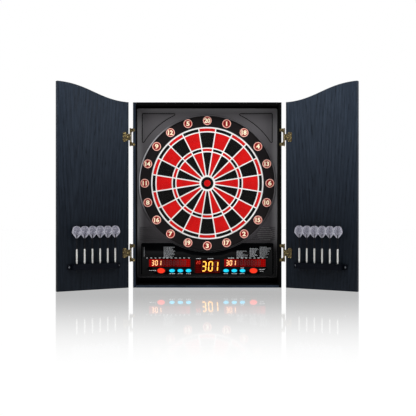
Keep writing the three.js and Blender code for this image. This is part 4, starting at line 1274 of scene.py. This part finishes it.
def makeSegments():
    low, high, inset = target["segmentLow"], target["segmentHigh"], target["inset"]
    for name, (inner, outer, node, blackFirst) in target["rings"].items():
        for red in (True, False):
            single = bmesh.new()
            pits = pitsAt(cellPits(inner, outer))
            addSlab(single, [cellOutline(inner, outer, inset)], low, high, 0.45, pits=pits)
            start = 1 if red == blackFirst else 0
            places = [Matrix.Rotation(math.radians(-18 * i), 4, "Z") for i in range(start, 20, 2)]
            shape = bmesh.new()
            addCopies(shape, single, places)
            tint = "red" if red else "black"
            makePiece(node + "_" + tint, shape, boardPlace, node, tint + "Segment", [node])


def makeWeb():
    shape = bmesh.new()
    edge, sides, low = target["webOuter"], target["webSides"], target["webLow"]
    cells = [circle(target["bullHole"], 48)[::-1]]
    for inner, outer, _, _ in target["rings"].values():
        cells += [cellOutline(inner, outer, 0, 90 - 18 * i)[::-1] for i in range(20)]
    addSlab(shape, [circle(edge, sides)] + cells, low, target["webHigh"], 0.9, steps=3)
    flange, top = target["webFlange"], target["flangeTop"]
    addLathe(shape, [(edge - 0.2, low), (flange, low), (flange, top), (edge - 0.2, top)], sides, closed=True)
    makeFixed("web", shape, "webPlastic", ["spider"])


def makeBull():
    low, high = target["segmentLow"], target["segmentHigh"]
    inner, outer = target["outerBull"]
    shape = bmesh.new()
    pits = pitsAt(spot for radius, count in target["outerBullPits"] for spot in circle(radius, count))
    addSlab(shape, [circle(outer, 64), circle(inner, 48)[::-1]], low, high, 0.4, pits=pits)
    makePiece("outer_bull_black", shape, boardPlace, "outer_bull", "blackSegment", ["outer_bull"])
    shape = bmesh.new()
    spots = [spot for radius, count in target["bullseyePits"] for spot in circle(radius, count)]
    pits = pitsAt([Vector((0, 0))] + spots)
    addSlab(shape, [circle(target["bullseye"], 48)], low, high + 0.3, 0.6, pits=pits)
    makePiece("bullseye_red", shape, boardPlace, "bullseye", "redSegment", ["bullseye"])


makeWeb()
makeSegments()
makeBull()
print("target finished")

buttons = [(str(i + 1), x, "small") for i, x in enumerate(panel["smallX"])] + [("large", panel["largeX"], "large")]


def makePanel():
    shape = bmesh.new()
    gap = panel["windowGap"]
    left, right, low, high = panel["sideWindow"]
    holes = []
    for start, end, foot, top in ((left, right, low, high), (-right, -left, low, high), panel["centreWindow"]):
        holes.append(roundedBox(start - gap, end + gap, foot - gap, top + gap, 0.8, 3)[::-1])
    for _, x, size in buttons:
        wide, tall = (length / 2 + panel["buttonGap"] for length in panel[size])
        holes += [circle(wide, 40, sign * x, panel["buttonY"], tall)[::-1] for sign in (-1, 1)]
    addSlab(shape, [panelOutline(0)] + holes, panel["back"], panel["front"], 0.3)
    makeFixed("panel", shape, "panelGloss", ["control_panel"])


def buttonProfile(radius):
    # a flange behind the panel, a straight side, and a cap that is steep at its rim and nearly flat at its middle
    back, front, dome = panel["buttonBack"], panel["buttonFront"], panel["buttonDome"]
    profile = [(0, back), (radius + 1, back), (radius + 1, back + 1), (radius, back + 1), (radius, front - dome)]
    for i in range(1, 7):
        turn = math.pi / 2 * i / 7
        reach = 1 - 0.10 * (1 - math.cos(turn)) if i < 4 else 1 - (i - 3) / 4 * 0.92 - 0.05
        profile.append((radius * reach, front - dome + dome * math.sin(turn)))
    return profile + [(0, front)]


def makeButtons():
    for name, x, size in buttons:
        wide, tall = panel[size]
        slot, look = ("button_red", "redButton") if size == "large" else ("button_cyan", "cyanButton")
        for side, sign in sideSign.items():
            shape = bmesh.new()
            addLathe(shape, buttonProfile(wide / 2), 40, Matrix.Diagonal((1, tall / wide, 1, 1)))
            place = boardPlace @ shift(sign * x * mm, panel["buttonY"] * mm, 0)
            node = "button_" + side + "_" + name
            makePiece(node + "_cap", shape, place, node, look, [node], sharp=50)


# the bars that are lit for each figure; an empty cell has none
digitBars = {"": "", "0": "abcdef", "1": "bc", "2": "abdeg", "3": "abcdg"}


def addDigit(shape, bars, x, row, low, high):
    # seven-part digit, leaning a little, its bars pointed at both ends
    wide, tall = row["digit"]
    half = row["bar"] / 2
    gap = row["bar"] * 0.12
    right, top = wide / 2 - half, tall / 2 - half
    ends = {
        "a": ((-right, top), (right, top)), "g": ((-right, 0), (right, 0)), "d": ((-right, -top), (right, -top)),
        "f": ((-right, 0), (-right, top)), "b": ((right, 0), (right, top)),
        "e": ((-right, -top), (-right, 0)), "c": ((right, -top), (right, 0)),
    }
    for bar in bars:
        start, end = (Vector(point) for point in ends[bar])
        along = (end - start).normalized()
        side = Vector((-along.y, along.x)) * half
        start, end = start + along * gap, end - along * gap
        inStart, inEnd = start + along * half, end - along * half
        loop = [start, inStart - side, inEnd - side, end, inEnd + side, inStart + side]
        leaning = [Vector((x + point.x + displays["lean"] * point.y, row["y"] + point.y)) for point in loop]
        addSlab(shape, [leaning], low, high, 0)


displays = {
    "sunk": 0.08, "thick": 0.08, "unlitDrop": 0.02, "lean": 0.07,
    "side": {
        "digit": (8.6, 17.5), "bar": 2.3, "y": -255.5, "cells": 10, "pitch": 11.4,
        "first": {"left": -174.5, "right": 64},
    },
    "centre": {"digit": (15, 33), "bar": 3.6, "y": -266.4, "x": (-10.5, 10.5, 27.5)},
    "small": {"digit": (5.4, 10.4), "bar": 1.5, "y": -254.2, "x": (-32.5, -25)},
}


def makeDisplays():
    face = panel["windowFront"]
    low, high = face - displays["sunk"], face + displays["thick"]
    left, right, *levels = panel["sideWindow"]
    boxes = {"left": (-right, -left, *levels), "right": (left, right, *levels), "centre": panel["centreWindow"]}
    for side, (start, end, bottom, top) in boxes.items():
        shape = bmesh.new()
        middle = (start + end) / 2
        loop = roundedBox(start - middle, end - middle, bottom, top, 0.7, 3)
        addSlab(shape, [loop], panel["windowBack"], face, 0.25)
        node = "display_window_" + side
        place = boardPlace @ shift(middle * mm, 0, 0)
        lens = "centreLens" if side == "centre" else "displayLens"
        makePiece(node + "_lens", shape, place, "cabinet", lens, [node])

    pale, unlit, amber, red = (bmesh.new() for _ in range(4))

    def addBoth(shape, word, x, row):
        rest = "".join(bar for bar in "abcdefg" if bar not in digitBars[word])
        addDigit(shape, digitBars[word], x, row, low, high)
        addDigit(unlit, rest, x, row, low, high - displays["unlitDrop"])

    row = displays["side"]
    for side in sideSign:
        for i in range(row["cells"]):
            addBoth(pale, "301"[i:i + 1], row["first"][side] + row["pitch"] * i, row)
    for word, x in zip("301", displays["centre"]["x"]):
        addBoth(amber, word, x, displays["centre"])
    for word, x in zip("20", displays["small"]["x"]):
        addDigit(red, digitBars[word], x, displays["small"], low, high)
    for name, shape, look in (("digits_side", pale, "paleDigits"), ("digits_unlit", unlit, "darkDigits"),
                              ("digits_centre", amber, "amberDigits"), ("digits_small", red, "redDigits")):
        makeFixed(name, shape, look)


makePanel()
makeButtons()
makeDisplays()
print("panel finished")

printed = {
    # middle of each mark in the top row
    "whiteRow": (-192.9, -179.5, -166, -152.2, -139.7, -128.5, -114.7, -100.9, -87.4, -74, -59,
                 97.2, 111.3, 124.5, 137.3, 151.4, 164.6, 177),
    "rowY": -239.7, "rowWidths": (5.0, 7.5),
    # middle x, y and width of each label
    "labels": (
        (-174.3, -279.6, 24.4), (-60.2, -290, 15), (-86.5, -290, 15), (-112.9, -290, 18), (-27.5, -241.7, 16.5),
        (11.6, -241.7, 20), (76.6, -239.8, 20), (175.4, -276, 16.7), (175.4, -282, 13), (60.2, -290, 15),
        (86.5, -290, 17), (112.9, -290, 17), (112.9, -271.8, 12),
    ),
    "height": 1.3, "labelDashes": (3, 7), "labelGap": 1.1,
    # left, right, lowest and highest of each block of lines
    "blocks": (
        (-140, -101.8, -237, -205), (94.3, 133.1, -237, -217.7), (136, 165.2, -237, -209.4),
        (168.1, 205, -237, -204.8),
    ),
    "blockHeight": 1.1, "blockDashes": (2.5, 9), "blockGap": 1.2, "step": 3.2, "ragged": 0.5,
    # x, y, width and height of the upright rule
    "rule": (-202.2, -220.4, 0.6, 32), "low": 45.79, "high": 45.84, "shortest": 2,
}


def addMark(shape, x, y, wide, tall):
    loop = roundedBox(x - wide / 2, x + wide / 2, y - tall / 2, y + tall / 2, min(wide, tall) * 0.2, 1)
    addSlab(shape, [loop], printed["low"], printed["high"], 0)


def addDashes(shape, start, end, y, tall, lengths, gap):
    while start < end - printed["shortest"]:
        length = min(random.uniform(*lengths), end - start)
        addMark(shape, start + length / 2, y, length, tall)
        start += length + gap


def makePrint():
    white, grey = bmesh.new(), bmesh.new()
    tall = printed["height"]
    for x in printed["whiteRow"]:
        addMark(white, x, printed["rowY"], random.uniform(*printed["rowWidths"]), tall)
    for x, y, wide in printed["labels"]:
        addDashes(white, x - wide / 2, x + wide / 2, y, tall, printed["labelDashes"], printed["labelGap"])
    for left, right, low, high in printed["blocks"]:
        y = high
        while y > low:
            end = right - random.uniform(0, printed["ragged"]) * (right - left)
            addDashes(grey, left, end, y, printed["blockHeight"], printed["blockDashes"], printed["blockGap"])
            y -= printed["step"]
    addMark(grey, *printed["rule"])
    makeFixed("print_white", white, "whitePrint")
    makeFixed("print_grey", grey, "greyPrint")


makePrint()
for node, look, ease in (
    ("rear_cover", "coverPlastic", 0.6), ("contact_membrane", "membraneFilm", None),
    ("backing_board", "hardboard", 0.4), ("circuit_board", "circuitGreen", None),
    ("speaker", "speakerMetal", 0.3), ("power_socket", "shaftPlastic", 0.3),
):
    carryOver(node, look, ease)
print("inner pieces finished")
